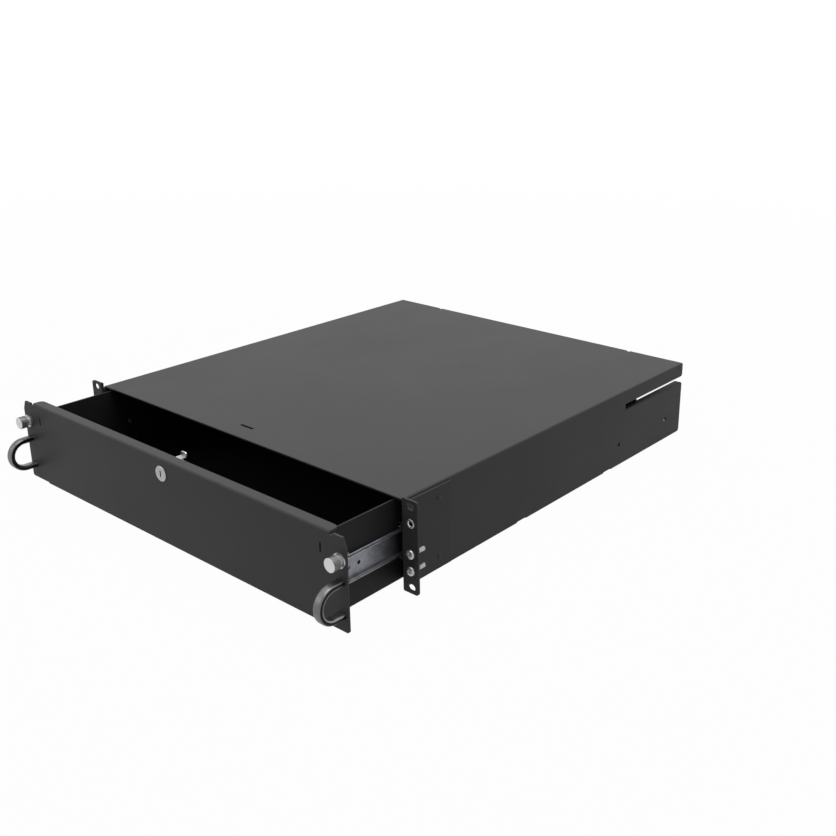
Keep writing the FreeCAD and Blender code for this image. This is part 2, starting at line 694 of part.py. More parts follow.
def housing_fasteners():
    master = rivet_master("ear_rivet_master", "ear_sheet + housing_sheet")
    group("ear_rivets", master,
          [(by_side(side, "ear_leg_out"), y, z, 90 * side)
           for name, side in sides
           for y in ("ear_rivet_y", "ear_rivet_y + ear_rivet_pitch")
           for z in ("ear_rivet_low", "ear_rivet_high")])
    insert = master_body("insert_master")
    bore = "thread / 2 + thread_play"
    turned(insert, [(bore, "0 - ear_sheet - insert_proud"),
                    ("insert_flange / 2", "0 - ear_sheet - insert_proud"),
                    ("insert_flange / 2", "0 - ear_sheet"), ("insert_body / 2", "0 - ear_sheet"),
                    ("insert_body / 2", "insert_depth"), (bore, "insert_depth")])
    group("threaded_inserts", insert,
          [(by_side(side, "column_x"), "0", "thumb_z", 0) for name, side in sides])
    screw = master_body("rack_screw_master")
    turned(screw, [("0", "0 - ear_sheet - screw_head_high"),
                   ("screw_crown / 2", "0 - ear_sheet - screw_head_high"),
                   ("screw_head / 2", "0 - ear_sheet - screw_rim"),
                   ("screw_head / 2", "0 - ear_sheet"),
                   ("screw_neck / 2", "0 - ear_sheet"), ("screw_neck / 2", "0"),
                   ("screw_shank / 2", "0"),
                   ("screw_shank / 2", "screw_length - ear_sheet"),
                   ("0", "screw_length - ear_sheet")])
    group("rack_screws", screw,
          [(by_side(side, "column_x"), "0", z, 0)
           for name, side in sides for z in ("screw_low_z", "screw_high_z")])


# Slides. A section is drawn as (depth from the sleeve's wall, height from the slide's
# centre line) and mirrored to both flanges and both sides.

def slide_section(side, upper):
    points = [(corner[0], corner[1], corner[2:]) for corner in upper]
    outline = []
    for depth, height, centre in points + flip_run(points):
        spot = (by_side(side, "wall_in - (%s)" % depth), "slide_z + (%s)" % height)
        if centre:
            spot += (by_side(side, "wall_in - (%s)" % centre[0]), "slide_z + (%s)" % centre[1])
        outline.append(spot)
    return outline


# The lower half of a symmetric section: the same run, upside down and backwards
def flip_run(points):
    result = []
    for i in range(len(points) - 1, -1, -1):
        depth, height, centre = points[i]
        arc = points[i + 1][2] if i + 1 < len(points) else ()
        if arc:
            arc = (arc[0], "0 - (%s)" % arc[1])
        result.append((depth, "0 - (%s)" % height, arc))
    return result


# Both bends of a member between web and flange, as arcs of the section
def cabinet_section(side):
    bend = "slide_outer_bend"
    return slide_section(side, [
        ("0", "cabinet_top - %s" % bend),
        (bend, "cabinet_top", bend, "cabinet_top - %s" % bend),
        ("outer_row - bulge_half", "cabinet_top"),
        ("outer_row + bulge_half", "cabinet_top", "outer_row", "outer_row_z"),
        ("flange_edge", "cabinet_top"),
        ("flange_edge", "cabinet_flat"),
        ("outer_row + race_half", "cabinet_flat"),
        ("outer_row - race_half", "cabinet_flat", "outer_row", "outer_row_z"),
        ("slide_strip + slide_bend", "cabinet_flat"),
        ("slide_strip", "cabinet_flat - slide_bend",
         "slide_strip + slide_bend", "cabinet_flat - slide_bend")])


def middle_section(side):
    bend = "slide_outer_bend"
    return slide_section(side, [
        ("middle_web", "middle_top - %s" % bend),
        ("middle_web + %s" % bend, "middle_top",
         "middle_web + %s" % bend, "middle_top - %s" % bend),
        ("outer_row - race_half", "middle_top"),
        ("outer_row + race_half", "middle_top", "outer_row", "outer_row_z"),
        ("inner_row - bulge_half", "middle_top"),
        ("inner_row + bulge_half", "middle_top", "inner_row", "inner_row_z"),
        ("flange_edge", "middle_top"),
        ("flange_edge", "middle_flat"),
        ("inner_row + race_half", "middle_flat"),
        ("inner_row - race_half", "middle_flat", "inner_row", "inner_row_z"),
        ("outer_row + bulge_half", "middle_flat"),
        ("outer_row - bulge_half", "middle_flat", "outer_row", "outer_row_z"),
        ("middle_web_in + slide_bend", "middle_flat"),
        ("middle_web_in", "middle_flat - slide_bend",
         "middle_web_in + slide_bend", "middle_flat - slide_bend")])


def member_section(side):
    bend = "slide_outer_bend"
    return slide_section(side, [
        ("slide_depth", "member_flat - %s" % bend),
        ("slide_depth - %s" % bend, "member_flat",
         "slide_depth - %s" % bend, "member_flat - %s" % bend),
        ("inner_row + race_half", "member_flat"),
        ("inner_row - race_half", "member_flat", "inner_row", "inner_row_z"),
        ("member_edge", "member_flat"),
        ("member_edge", "member_flat - slide_strip"),
        ("inner_row - bulge_half", "member_flat - slide_strip"),
        ("inner_row + bulge_half", "member_flat - slide_strip", "inner_row", "inner_row_z"),
        ("member_web - slide_bend", "member_flat - slide_strip"),
        ("member_web", "member_flat - slide_strip - slide_bend",
         "member_web - slide_bend", "member_flat - slide_strip - slide_bend")])


def cage_section(side, web, row, row_z):
    tip = "%s + ball / 2 + cage_edge" % row
    high = "%s + cage_strip / 2" % row_z
    low = "%s - cage_strip / 2" % row_z
    return slide_section(side, [
        (web, high), (tip, high), (tip, low), ("%s + cage_strip" % web, low)])


fixings = ["fix_start + %d * fix_pitch" % i for i in range(3)]
member_fixings = ["member_fix_start + %d * member_fix_pitch" % i for i in range(3)]
balls_per_row = 3


def slide_side(name, side):
    cabinet = new_body("slide_cabinet_member_" + name)
    pad(cabinet, "XZ", [cabinet_section(side)], "cabinet_start", "cabinet_start + slide_length")
    web = span(side, "wall_in - slide_strip", "wall_in")
    cut(cabinet, "YZ", [disc(y, "slide_z", "rivet + 2 * rivet_play") for y in fixings], *web)
    cut(cabinet, "YZ", [disc(y, "slide_z", "flush_head + 2 * rivet_play") for y in fixings],
        *span(side, "wall_in - slide_strip", "wall_in - slide_strip + flush_depth"))
    # End stop behind the middle member
    rear = "cabinet_start + slide_length"
    pad(cabinet, "YZ", [box("middle_start + middle_length + stop_gap", rear,
                            "slide_z - stop_height / 2", "slide_z + stop_height / 2")],
        *span(side, "wall_in - middle_web_in", "wall_in - slide_strip"))

    middle = new_body("slide_middle_member_" + name, 0.5)
    pad(middle, "XZ", [middle_section(side)], "middle_start", "middle_start + middle_length")

    member = new_body("slide_drawer_member_" + name, 1)
    pad(member, "XZ", [member_section(side)], "member_start", "member_start + slide_length")
    holes = [disc(y, "slide_z", "member_hole")
             for y in ("member_hole_y", "member_hole_y + member_hole_pitch")]
    holes += [disc(y, "slide_z", "rivet + 2 * rivet_play") for y in member_fixings]
    web = span(side, "wall_in - slide_depth", "wall_in - member_web")
    cut(member, "YZ", holes, *web)
    tab = box("member_tab_y", "member_tab_y + member_tab_long",
              "slide_z", "slide_z + member_flat + member_tab_high")
    pad(member, "YZ", [tab], *web)

    cages = (("outer", 0.25, "outer_cage_web", "outer_row", "outer_row_z"),
             ("inner", 0.75, "inner_cage_web", "inner_row", "inner_row_z"))
    for kind, share, web_text, row, row_z in cages:
        start = kind + "_cage_start"
        length = kind + "_cage_length"
        cage = new_body("%s_ball_cage_%s" % (kind, name), share)
        pad(cage, "XZ", [cage_section(side, web_text, row, row_z)],
            start, "%s + %s" % (start, length))
        rows_y = ["%s + cage_end + %d * (%s - 2 * cage_end) / %d"
                  % (start, i, length, balls_per_row - 1) for i in range(balls_per_row)]
        row_x = by_side(side, "wall_in - %s" % row)
        cut(cage, "XY", [disc(row_x, y, "ball + 2 * pocket_play") for y in rows_y],
            "slide_z - %s - cage_strip" % row_z, "slide_z + %s + cage_strip" % row_z)
        group("%s_balls_%s" % (kind, name), ball_master,
              [(row_x, y, "slide_z %s %s" % (way, row_z), 0) for y in rows_y for way in "+-"],
              share)


def slide_fasteners():
    flush = master_body("cabinet_rivet_master")
    head = "flush_head / 2"
    turned(flush, [("0", "0 - flush_depth"), (head, "0 - flush_depth"),
                   (head, "0"), ("rivet / 2", "0"),
                   ("rivet / 2", "slide_strip - flush_depth + housing_sheet"),
                   ("0", "slide_strip - flush_depth + housing_sheet")])
    seat = "wall_in - slide_strip + flush_depth"
    group("cabinet_member_rivets", flush,
          [(by_side(side, seat), y, "slide_z", -90 * side) for name, side in sides for y in fixings])
    master = rivet_master("member_rivet_master", "slide_strip + tray_sheet")
    group("drawer_member_rivets", master,
          [(by_side(side, "wall_in - member_web"), y, "slide_z", 90 * side)
           for name, side in sides for y in member_fixings], 1)


# Drawer

def faceplate():
    body = new_body("faceplate", 1)
    fold = [("plate_front", "plate_low"), ("plate_front", "plate_high"),
            ("plate_front + flange_depth", "plate_high")]
    pad(body, "YZ", [folded(fold, "plate_sheet", "bend", -1)], "0 - flange_half", "flange_half")
    for name, side in sides:
        ear = [("flange_half", "plate_ear_low"), ("plate_half", "plate_ear_low", "plate_foot_corner"),
               ("plate_half", "plate_ear_high - plate_cut_high"),
               ("plate_half - plate_cut_wide", "plate_ear_high"), ("relief_x", "plate_ear_high"),
               ("relief_x", "relief_low"), ("flange_half", "relief_low")]
        pad(body, "XZ", [mirrored(rounded(ear), side)], "plate_front", "plate_back")
    trims = []
    for name, side in sides:
        trims.append(mirrored(box("plate_step", "flange_half", "plate_low", "plate_ear_low"), side))
        trims.append(box(by_side(side, "tray_out") + " + %d * tab_play" % side,
                         by_side(side, "tray_in") + " - %d * tab_play" % side,
                         "tab_low - tab_play", "tab_low + tab_height + tab_play"))
        trims.append(disc(by_side(side, "column_x"), "thumb_z", "ferrule_hole"))
        for z in ("handle_low", "handle_high"):
            trims.append(disc(by_side(side, "column_x"), z, "handle_screw + 2 * rivet_play"))
    trims.append(disc("0", "lock_z", "lock_body + 2 * lock_body_play"))
    cut(body, "XZ", trims, "plate_front", "plate_back")
    for name, side in sides:
        waste = corner_waste("flange_half", "plate_front + flange_depth", 1, 1, "flange_corner")
        cut(body, "XY", [mirrored(waste, side)], "plate_high - plate_sheet", "plate_high")
        for z in ("handle_low", "handle_high"):
            countersink(body, by_side(side, "column_x"), z)


# Conical seat of a handle screw in the back of the faceplate
def countersink(body, x, z):
    sketch = new_sketch(body, "XZ", along("XZ", "plate_back"))
    draw_circle(sketch, x, z, "handle_screw_head + 2 * rivet_play")
    feature = body.newObject("PartDesign::Pocket", body.Label + "_countersink")
    feature.Profile = sketch
    feature.Reversed = True
    bind(feature, "Length", "(handle_screw_head - handle_screw) / 2")
    feature.TaperAngle = -45
    body.Tip = feature


def drawer_tray():
    body = new_body("drawer_tray", 1)
    path = [("0 - tray_out", "tray_high"), ("0 - tray_out", "tray_low"),
            ("tray_out", "tray_low"), ("tray_out", "tray_high")]
    pad(body, "XZ", [folded(path, "tray_sheet", "bend", 1)], "plate_back", "tray_rear")
    for name, side in sides:
        flange = box("tray_in - tray_return", "tray_in", "plate_back", "plate_back + tray_sheet")
        pad(body, "XY", [mirrored(flange, side)], "tray_floor", "tray_high")
        tab = box("tray_in", "tray_out", "tab_low", "tab_low + tab_height")
        pad(body, "XZ", [mirrored(tab, side)], "plate_back - tab_reach", "plate_back")
    holes = [disc(y, "slide_z", "rivet + 2 * rivet_play") for y in member_fixings]
    holes += [disc("tray_rear - back_return / 2", z, "rivet + 2 * rivet_play")
              for z in back_rivet_heights]
    cut(body, "YZ", holes, "0 - tray_out", "tray_out")


back_rivet_heights = ("ear_rivet_low", "ear_rivet_high")


def drawer_back_panel():
    body = new_body("drawer_back_panel", 1)
    path = [("0 - tray_in", "back_front"), ("0 - tray_in", "tray_rear"),
            ("tray_in", "tray_rear"), ("tray_in", "back_front")]
    pad(body, "XY", [folded(path, "back_sheet", "bend", -1)], "tray_floor + bend", "tray_high")
    holes = [disc("tray_rear - back_return / 2", z, "rivet + 2 * rivet_play")
             for z in back_rivet_heights]
    cut(body, "YZ", holes, "0 - tray_in", "tray_in")
    master = rivet_master("back_rivet_master", "tray_sheet + back_sheet")
    group("back_panel_rivets", master,
          [(by_side(side, "tray_out"), "tray_rear - back_return / 2", z, 90 * side)
           for name, side in sides for z in back_rivet_heights], 1)


# A handle is half a ring of the bar's section with two straight legs
def handle(name, side):
    body = new_body("handle_" + name, 1)
    x = by_side(side, "column_x")
    ring = new_sketch(body, "XZ", along("XZ", "plate_front - handle_straight"))
    bind(ring, ".AttachmentOffset.Base.y", "(handle_low + handle_high) / 2")
    draw(ring, bar_outline(x, "handle_radius"))
    bend = body.newObject("PartDesign::Revolution", body.Label + "_bend")
    bend.Profile = ring
    bend.ReferenceAxis = (ring, ["H_Axis"])
    bend.Angle = 180
    body.Tip = bend
    pad(body, "XZ", [bar_outline(x, z) for z in ("handle_low", "handle_high")],
        "plate_front - handle_straight", "plate_front")
    cut(body, "XZ", [disc(x, z, "handle_screw + 2 * rivet_play")
                     for z in ("handle_low", "handle_high")],
        "plate_front - handle_screw_in", "plate_front")


def bar_outline(x, z):
    left = "%s - bar_width / 2" % x
    right = "%s + bar_width / 2" % x
    low = "%s - bar_thick / 2" % z
    high = "%s + bar_thick / 2" % z
    return [(left + " + bar_chamfer", low), (right + " - bar_chamfer", low),
            (right, low + " + bar_chamfer"), (right, high + " - bar_chamfer"),
            (right + " - bar_chamfer", high), (left + " + bar_chamfer", high),
            (left, high + " - bar_chamfer"), (left, low + " + bar_chamfer")]


def handle_screws():
    master = master_body("handle_screw_master")
    cone = "(handle_screw_head - handle_screw) / 2"
    turned(master, [("0", "0"), ("handle_screw_head / 2", "0"),
                    ("handle_screw / 2", "0 - %s" % cone),
                    ("handle_screw / 2", "0 - plate_sheet - handle_screw_in + pocket_play"),
                    ("0", "0 - plate_sheet - handle_screw_in + pocket_play")])
    group("handle_screws", master,
          [(by_side(side, "column_x"), "plate_back", z, 0)
           for name, side in sides for z in ("handle_low", "handle_high")], 1)


# Lock

def lock():
    at = ("0", "0", "lock_z")
    barrel = new_body("lock_barrel", 1, at)
    bore = "lock_plug / 2 + lock_plug_play"
    front = "plate_front - lock_bezel_high"
    turned(barrel, [(bore, front), ("lock_bezel / 2 - lock_bezel_edge", front),
                    ("lock_bezel / 2", "plate_front - lock_bezel_high + lock_bezel_edge"),
                    ("lock_bezel / 2", "plate_front"), ("lock_body / 2", "plate_front"),
                    ("lock_body / 2", "cam_front - lock_plug_play"),
                    (bore, "cam_front - lock_plug_play")])
    nut = new_body("lock_nut", 1, at)
    flat = "lock_nut / 2"
    tip = "lock_nut / sqrt(3)"
    half_tip = "lock_nut / sqrt(3) / 2"
    hexagon = [(tip, "0"), (half_tip, flat), ("0 - " + half_tip, flat), ("0 - " + tip, "0"),
               ("0 - " + half_tip, "0 - " + flat), (half_tip, "0 - " + flat)]
    pad(nut, "XZ", [hexagon, disc("0", "0", "lock_body + 2 * lock_body_play")],
        "plate_back", "plate_back + lock_nut_thick")
    plug = new_body("lock_plug", 1, at)
    turned(plug, [("0", "plate_front - lock_bezel_high + lock_plug_play"),
                  ("lock_plug / 2", "plate_front - lock_bezel_high + lock_plug_play"),
                  ("lock_plug / 2", "cam_front"), ("0", "cam_front")])
    drive = box("0 - cam_square / 2", "cam_square / 2", "0 - cam_square / 2", "cam_square / 2")
    pad(plug, "XZ", [drive], "cam_front", "cam_back")
    cut(plug, "XZ", [box("0 - key_wide / 2", "key_wide / 2", "0 - key_high / 2", "key_high / 2")],
        "plate_front - lock_bezel_high", "plate_front - lock_bezel_high + key_deep")
    cut(plug, "XZ", [disc("0", "0", "cam_screw + 2 * rivet_play")],
        "cam_back - cam_screw_in", "cam_back")
    cam = new_body("lock_cam", 1, at)
    left = "cam_x - cam_width / 2"
    right = "cam_x + cam_width / 2"
    shelf = "cam_shelf - lock_z"
    top = "cam_top - lock_z"
    pad(cam, "YZ", [cam_strip(shelf, top)], left, right)
    pad(cam, "XZ", [disc("0", "0", "cam_hub")], "cam_front", "cam_back")
    square = "cam_square + 2 * rivet_play"
    cut(cam, "XZ", [box("0 - (%s) / 2" % square, "(%s) / 2" % square,
                        "0 - (%s) / 2" % square, "(%s) / 2" % square)], "cam_front", "cam_back")
    for x, way in ((left, -1), (right, 1)):
        cut(cam, "XZ", [corner_waste(x, top, way, 1, "cam_tab_corner")],
            "cam_tab_front", "cam_tab_front + cam_sheet")
    screw = new_body("lock_cam_screw", 1, at)
    turned(screw, [("0", "cam_back - cam_screw_in + pocket_play"),
                   ("cam_screw / 2", "cam_back - cam_screw_in + pocket_play"),
                   ("cam_screw / 2", "cam_back"), ("cam_screw_head / 2", "cam_back"),
                   ("cam_screw_head / 2", "cam_back + cam_screw_high / 2"),
                   ("cam_screw_crown / 2", "cam_back + cam_screw_high"),
                   ("0", "cam_back + cam_screw_high")])


# Side view of the cam: arm up, shelf back, tab up
def cam_strip(shelf, top):
    outside = "bend + cam_sheet"
    rear = "cam_tab_front + cam_sheet"
    return rounded([
        ("cam_front", "0 - cam_square"), ("cam_back", "0 - cam_square"),
        ("cam_back", "%s - cam_sheet" % shelf, "bend"),
        (rear, "%s - cam_sheet" % shelf, outside), (rear, top), ("cam_tab_front", top),
        ("cam_tab_front", shelf, "bend"), ("cam_front", shelf, outside)])


# Captive thumbscrews

def thumbscrew(name, side):
    at = (by_side(side, "column_x"), "0", "thumb_z")
    hole = "thread / 2 + thread_play"
    ferrule = new_body("thumbscrew_ferrule_" + name, 1, at)
    turned(ferrule, [(hole, "ferrule_front"), ("ferrule_barrel / 2", "ferrule_front"),
                     ("ferrule_barrel / 2", "ferrule_flange_front"),
                     ("ferrule_flange / 2", "ferrule_flange_front"),
                     ("ferrule_flange / 2", "plate_front"), ("ferrule_hole / 2", "plate_front"),
                     ("ferrule_hole / 2", "plate_back"), (hole, "plate_back")])
    knob = new_body("thumbscrew_knob_" + name, 1, at)
    inside = "ferrule_barrel / 2 + knob_play"
    turned(knob, [("0", "knob_front"), ("knob / 2 - knob_edge", "knob_front"),
                  ("knob / 2", "knob_front + knob_edge"), ("knob / 2", "knob_rear"),
                  (inside, "knob_rear"), (inside, "spring_front"),
                  ("thread / 2", "spring_front"), ("thread / 2", "shaft_front"),
                  ("0", "shaft_front")])
    shaft = new_body("thumbscrew_shaft_" + name, 1, at)
    turned(shaft, [("0", "shaft_front"), ("thread / 2", "shaft_front"),
                   ("thread / 2", "thumb_tip - thumb_point"),
                   ("thread / 2 - thumb_point", "thumb_tip"),
                   ("0", "thumb_tip")])
    clip = new_body("thumbscrew_clip_" + name, 1, at)
    inner = "thread / 2 + rivet_play"
    clip_front = "plate_back + rivet_play"
    turned(clip, [(inner, clip_front), ("clip / 2", clip_front),
                  ("clip / 2", "%s + clip_thick" % clip_front),
                  (inner, "%s + clip_thick" % clip_front)])
    spring = new_body("thumbscrew_spring_" + name, 1, at)
    coil_in = "thread / 2 + spring_play"
    turned(spring, [(coil_in, "spring_front"), ("spring_radius", "spring_front"),
                    ("spring_radius", "ferrule_front"), (coil_in, "ferrule_front")])


# A ball in few faces, its corners on the round ball
ball_master = master_body("ball_master")
turned(ball_master, [("0", "0 - ball_long"), ("ball_short", "0 - ball_long"),
                     ("ball_long", "0 - ball_short"), ("ball_long", "ball_short"),
                     ("ball_short", "ball_long"), ("0", "ball_long")])

housing_shell()
floor_brace("floor_brace_front", "brace_y")
floor_brace("floor_brace_rear", "brace_rear_y")
for name, side in sides:
    ear_bracket(name, side)
housing_fasteners()
for name, side in sides:
    slide_side(name, side)
slide_fasteners()
faceplate()
drawer_tray()
drawer_back_panel()
for name, side in sides:
    handle(name, side)
handle_screws()
lock()
for name, side in sides:
    thumbscrew(name, side)

doc.recompute()
for thing in doc.Objects:
    if "Invalid" in thing.State or "Error" in thing.State:
        raise RuntimeError("%s failed to recompute" % thing.Label)
for node in nodes:
    if node.Shape.isNull() or not node.Shape.isValid():
        raise RuntimeError("%s has no valid shape" % node.Label)

os.makedirs("parts", exist_ok=True)
for node in nodes:
    node.Shape.exportStep("parts/%s.step" % node.Label)
    print(node.Label, len(node.Shape.Solids), round(node.Shape.Volume))
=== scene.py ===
import bpy
import bmesh
import math
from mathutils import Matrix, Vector


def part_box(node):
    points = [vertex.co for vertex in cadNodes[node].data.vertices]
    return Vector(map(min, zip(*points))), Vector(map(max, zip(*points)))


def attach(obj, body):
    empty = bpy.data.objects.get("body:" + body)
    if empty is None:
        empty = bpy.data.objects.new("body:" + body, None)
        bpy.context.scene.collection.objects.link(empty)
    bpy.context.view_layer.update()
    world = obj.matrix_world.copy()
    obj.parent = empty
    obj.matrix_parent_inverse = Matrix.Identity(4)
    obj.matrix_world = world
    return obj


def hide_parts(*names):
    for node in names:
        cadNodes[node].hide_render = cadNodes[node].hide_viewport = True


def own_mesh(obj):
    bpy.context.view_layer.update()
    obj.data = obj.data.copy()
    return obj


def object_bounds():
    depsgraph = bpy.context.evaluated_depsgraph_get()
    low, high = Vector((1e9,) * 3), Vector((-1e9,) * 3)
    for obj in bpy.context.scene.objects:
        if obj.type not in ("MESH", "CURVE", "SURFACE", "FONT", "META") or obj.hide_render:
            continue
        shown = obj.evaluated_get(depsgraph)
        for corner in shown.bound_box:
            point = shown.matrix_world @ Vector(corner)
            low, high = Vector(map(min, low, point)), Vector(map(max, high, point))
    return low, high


# Sliding rack drawer, in metres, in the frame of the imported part
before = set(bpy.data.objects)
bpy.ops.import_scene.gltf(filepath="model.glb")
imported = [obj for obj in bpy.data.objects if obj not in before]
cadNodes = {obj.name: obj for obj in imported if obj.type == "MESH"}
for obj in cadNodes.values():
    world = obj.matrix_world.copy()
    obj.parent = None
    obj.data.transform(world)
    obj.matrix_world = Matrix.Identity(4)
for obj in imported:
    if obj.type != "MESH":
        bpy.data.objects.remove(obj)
cadLow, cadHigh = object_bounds()
mm = 0.001
sides = ("left", "right")
print("frame loaded,", len(cadNodes), "nodes")


# Camera, solved from the photo
camera = {
    "place": (0.78051, -0.58658, 0.42787),
    "looks": (-0.60482, 0.72187, -0.33629),
    "sensor": 36.0,
    "lens": 45.948,
    "shift": (-0.0548, -0.0353),
    "clip": (0.02, 60.0),
}


def setCamera():
    data = bpy.data.cameras.new("photoCamera")
    data.sensor_width = camera["sensor"]
    data.lens = camera["lens"]
    data.shift_x, data.shift_y = camera["shift"]
    data.clip_start, data.clip_end = camera["clip"]
    eye = bpy.data.objects.new("photoCamera", data)
    eye.location = camera["place"]
    eye.rotation_mode = "QUATERNION"
    eye.rotation_quaternion = Vector(camera["looks"]).to_track_quat("-Z", "Y")
    bpy.context.collection.objects.link(eye)
    bpy.context.scene.camera = eye


setCamera()
print("camera set")


# Small helpers for node materials
nodeHabits = {
    "noiseSpan": (0.3, 0.7),      # the middle of a noise, where most of it lies
    "bevelSamples": 6,
    "edgeSpan": (0.99, 0.86),     # bevelled against true normal, from a flat to a sharp edge
}
noiseGrains = {
    # detail, roughness
    "soft": (2.0, 0.5),
    "middling": (3.0, 0.5),
    "fine": (4.0, 0.5),
    "pebbled": (3.0, 0.6),
    "gritty": (4.0, 0.6),
}


def nodeTree(name):
    made = bpy.data.materials.new(name)
    made.use_nodes = True
    tree = made.node_tree
    tree.nodes.clear()
    out = tree.nodes.new("ShaderNodeOutputMaterial")
    return made, tree, out


def principled(name):
    made, tree, out = nodeTree(name)
    shader = tree.nodes.new("ShaderNodeBsdfPrincipled")
    tree.links.new(shader.outputs["BSDF"], out.inputs["Surface"])
    place = tree.nodes.new("ShaderNodeTexCoord")
    return made, tree, shader, place.outputs["Object"]


def stretched(tree, place, scale):
    node = tree.nodes.new("ShaderNodeMapping")
    node.inputs["Scale"].default_value = scale
    tree.links.new(place, node.inputs["Vector"])
    return node.outputs["Vector"]


def noise(tree, place, grain, scale=1.0):
    node = tree.nodes.new("ShaderNodeTexNoise")
    node.inputs["Scale"].default_value = scale
    node.inputs["Detail"].default_value, node.inputs["Roughness"].default_value = noiseGrains[grain]
    tree.links.new(place, node.inputs["Vector"])
    return node.outputs["Fac"]


def ranged(tree, value, fromLow, fromHigh, toLow, toHigh):
    node = tree.nodes.new("ShaderNodeMapRange")
    node.inputs["From Min"].default_value = fromLow
    node.inputs["From Max"].default_value = fromHigh
    node.inputs["To Min"].default_value = toLow
    node.inputs["To Max"].default_value = toHigh
    tree.links.new(value, node.inputs["Value"])
    return node.outputs["Result"]


# The middle of a noise, spread over a range
def spread(tree, value, low, high):
    return ranged(tree, value, *nodeHabits["noiseSpan"], low, high)


def blended(tree, share, first, second):
    node = tree.nodes.new("ShaderNodeMix")
    node.data_type = "RGBA"
    for socket, colour in ((node.inputs[6], first), (node.inputs[7], second)):    # the colour pair
        if isinstance(colour, tuple):
            socket.default_value = (*colour, 1)
        else:
            tree.links.new(colour, socket)
    tree.links.new(share, node.inputs[0])
    return node.outputs[2]


def combined(tree, operation, first, second):
    node = tree.nodes.new("ShaderNodeMath")
    node.operation = operation
    for socket, value in ((node.inputs[0], first), (node.inputs[1], second)):
        if isinstance(value, (int, float)):
            socket.default_value = value
        else:
            tree.links.new(value, socket)
    return node.outputs[0]


def roundedNormal(tree, radius):
    node = tree.nodes.new("ShaderNodeBevel")
    node.samples = nodeHabits["bevelSamples"]
    node.inputs["Radius"].default_value = radius
    return node.outputs["Normal"]


# How much a spot lies on an edge: 0 on a flat, up to 1 on a sharp corner
def edgeShare(tree, normal):
    shape = tree.nodes.new("ShaderNodeNewGeometry")
    dot = tree.nodes.new("ShaderNodeVectorMath")
    dot.operation = "DOT_PRODUCT"
    tree.links.new(normal, dot.inputs[0])
    tree.links.new(shape.outputs["Normal"], dot.inputs[1])
    return ranged(tree, dot.outputs["Value"], *nodeHabits["edgeSpan"], 0.0, 1.0)


# One where the surface faces along an axis of the piece, either way
def facing(tree, axis, low, high):
    place = tree.nodes.new("ShaderNodeTexCoord")
    split = tree.nodes.new("ShaderNodeSeparateXYZ")
    tree.links.new(place.outputs["Normal"], split.inputs["Vector"])
    size = combined(tree, "ABSOLUTE", split.outputs[axis], 0.0)
    return ranged(tree, size, low, high, 0.0, 1.0)


def bumped(tree, height, strength, distance, normal=None):
    node = tree.nodes.new("ShaderNodeBump")
    node.inputs["Strength"].default_value = strength
    node.inputs["Distance"].default_value = distance
    tree.links.new(height, node.inputs["Height"])
    if normal is not None:
        tree.links.new(normal, node.inputs["Normal"])
    return node.outputs["Normal"]


# Studio: pale floor, soft lamps
studio = {
    "floorColour": (0.40, 0.40, 0.40),
    "floorSize": 30.0,
    "floorGap": 0.00005,
    "floorGlow": (0.975, 1.0),    # share of plain white seen in the floor, near and far
    "floorFade": (0.5, 2.5),
    "worldLevel": 0.18,
    "lamps": (
        # place, aim, size, watts
        ((0.1, 0.2, 1.9), (0.0, 0.15, 0.0), 1.8, 46.0),
        ((-1.3, -1.8, 1.1), (0.0, 0.0, 0.0), 1.2, 7.5),
    ),
}


# One for rays from the camera, also by way of metal or glass
def seenRays(tree):
    path = tree.nodes.new("ShaderNodeLightPath")
    seen = path.outputs["Is Camera Ray"]
    for ray in ("Is Glossy Ray", "Is Transmission Ray"):
        seen = combined(tree, "MAXIMUM", seen, path.outputs[ray])
    return seen


def setFloor():
    half = studio["floorSize"] / 2
    z = cadLow.z - studio["floorGap"]
    mesh = bpy.data.meshes.new("floor")
    corners = [(-half, -half, z), (half, -half, z), (half, half, z), (-half, half, z)]
    mesh.from_pydata(corners, [], [(0, 1, 2, 3)])
    floor = bpy.data.objects.new("floor", mesh)
    bpy.context.collection.objects.link(floor)
    made, tree, out = nodeTree("paleFloor")
    diffuse = tree.nodes.new("ShaderNodeBsdfDiffuse")
    diffuse.inputs["Color"].default_value = (*studio["floorColour"], 1)
    glow = tree.nodes.new("ShaderNodeEmission")
    glow.inputs["Color"].default_value = (1, 1, 1, 1)
    place = tree.nodes.new("ShaderNodeTexCoord")
    away = tree.nodes.new("ShaderNodeVectorMath")
    away.operation = "LENGTH"
    tree.links.new(place.outputs["Object"], away.inputs[0])
    fade = ranged(tree, away.outputs["Value"], *studio["floorFade"], *studio["floorGlow"])
    mix = tree.nodes.new("ShaderNodeMixShader")
    tree.links.new(combined(tree, "MULTIPLY", seenRays(tree), fade), mix.inputs[0])
    tree.links.new(diffuse.outputs[0], mix.inputs[1])
    tree.links.new(glow.outputs[0], mix.inputs[2])
    tree.links.new(mix.outputs[0], out.inputs["Surface"])
    mesh.materials.append(made)


def setWorld():
    world = bpy.data.worlds.new("studioWorld")
    bpy.context.scene.world = world
    world.use_nodes = True
    tree = world.node_tree
    tree.nodes.clear()
    out = tree.nodes.new("ShaderNodeOutputWorld")
    soft = tree.nodes.new("ShaderNodeBackground")
    soft.inputs["Color"].default_value = (1, 1, 1, 1)
    soft.inputs["Strength"].default_value = studio["worldLevel"]
    white = tree.nodes.new("ShaderNodeBackground")
    white.inputs["Color"].default_value = (1, 1, 1, 1)
    white.inputs["Strength"].default_value = 1
    mix = tree.nodes.new("ShaderNodeMixShader")
    tree.links.new(seenRays(tree), mix.inputs[0])
    tree.links.new(soft.outputs[0], mix.inputs[1])
    tree.links.new(white.outputs[0], mix.inputs[2])
    tree.links.new(mix.outputs[0], out.inputs["Surface"])


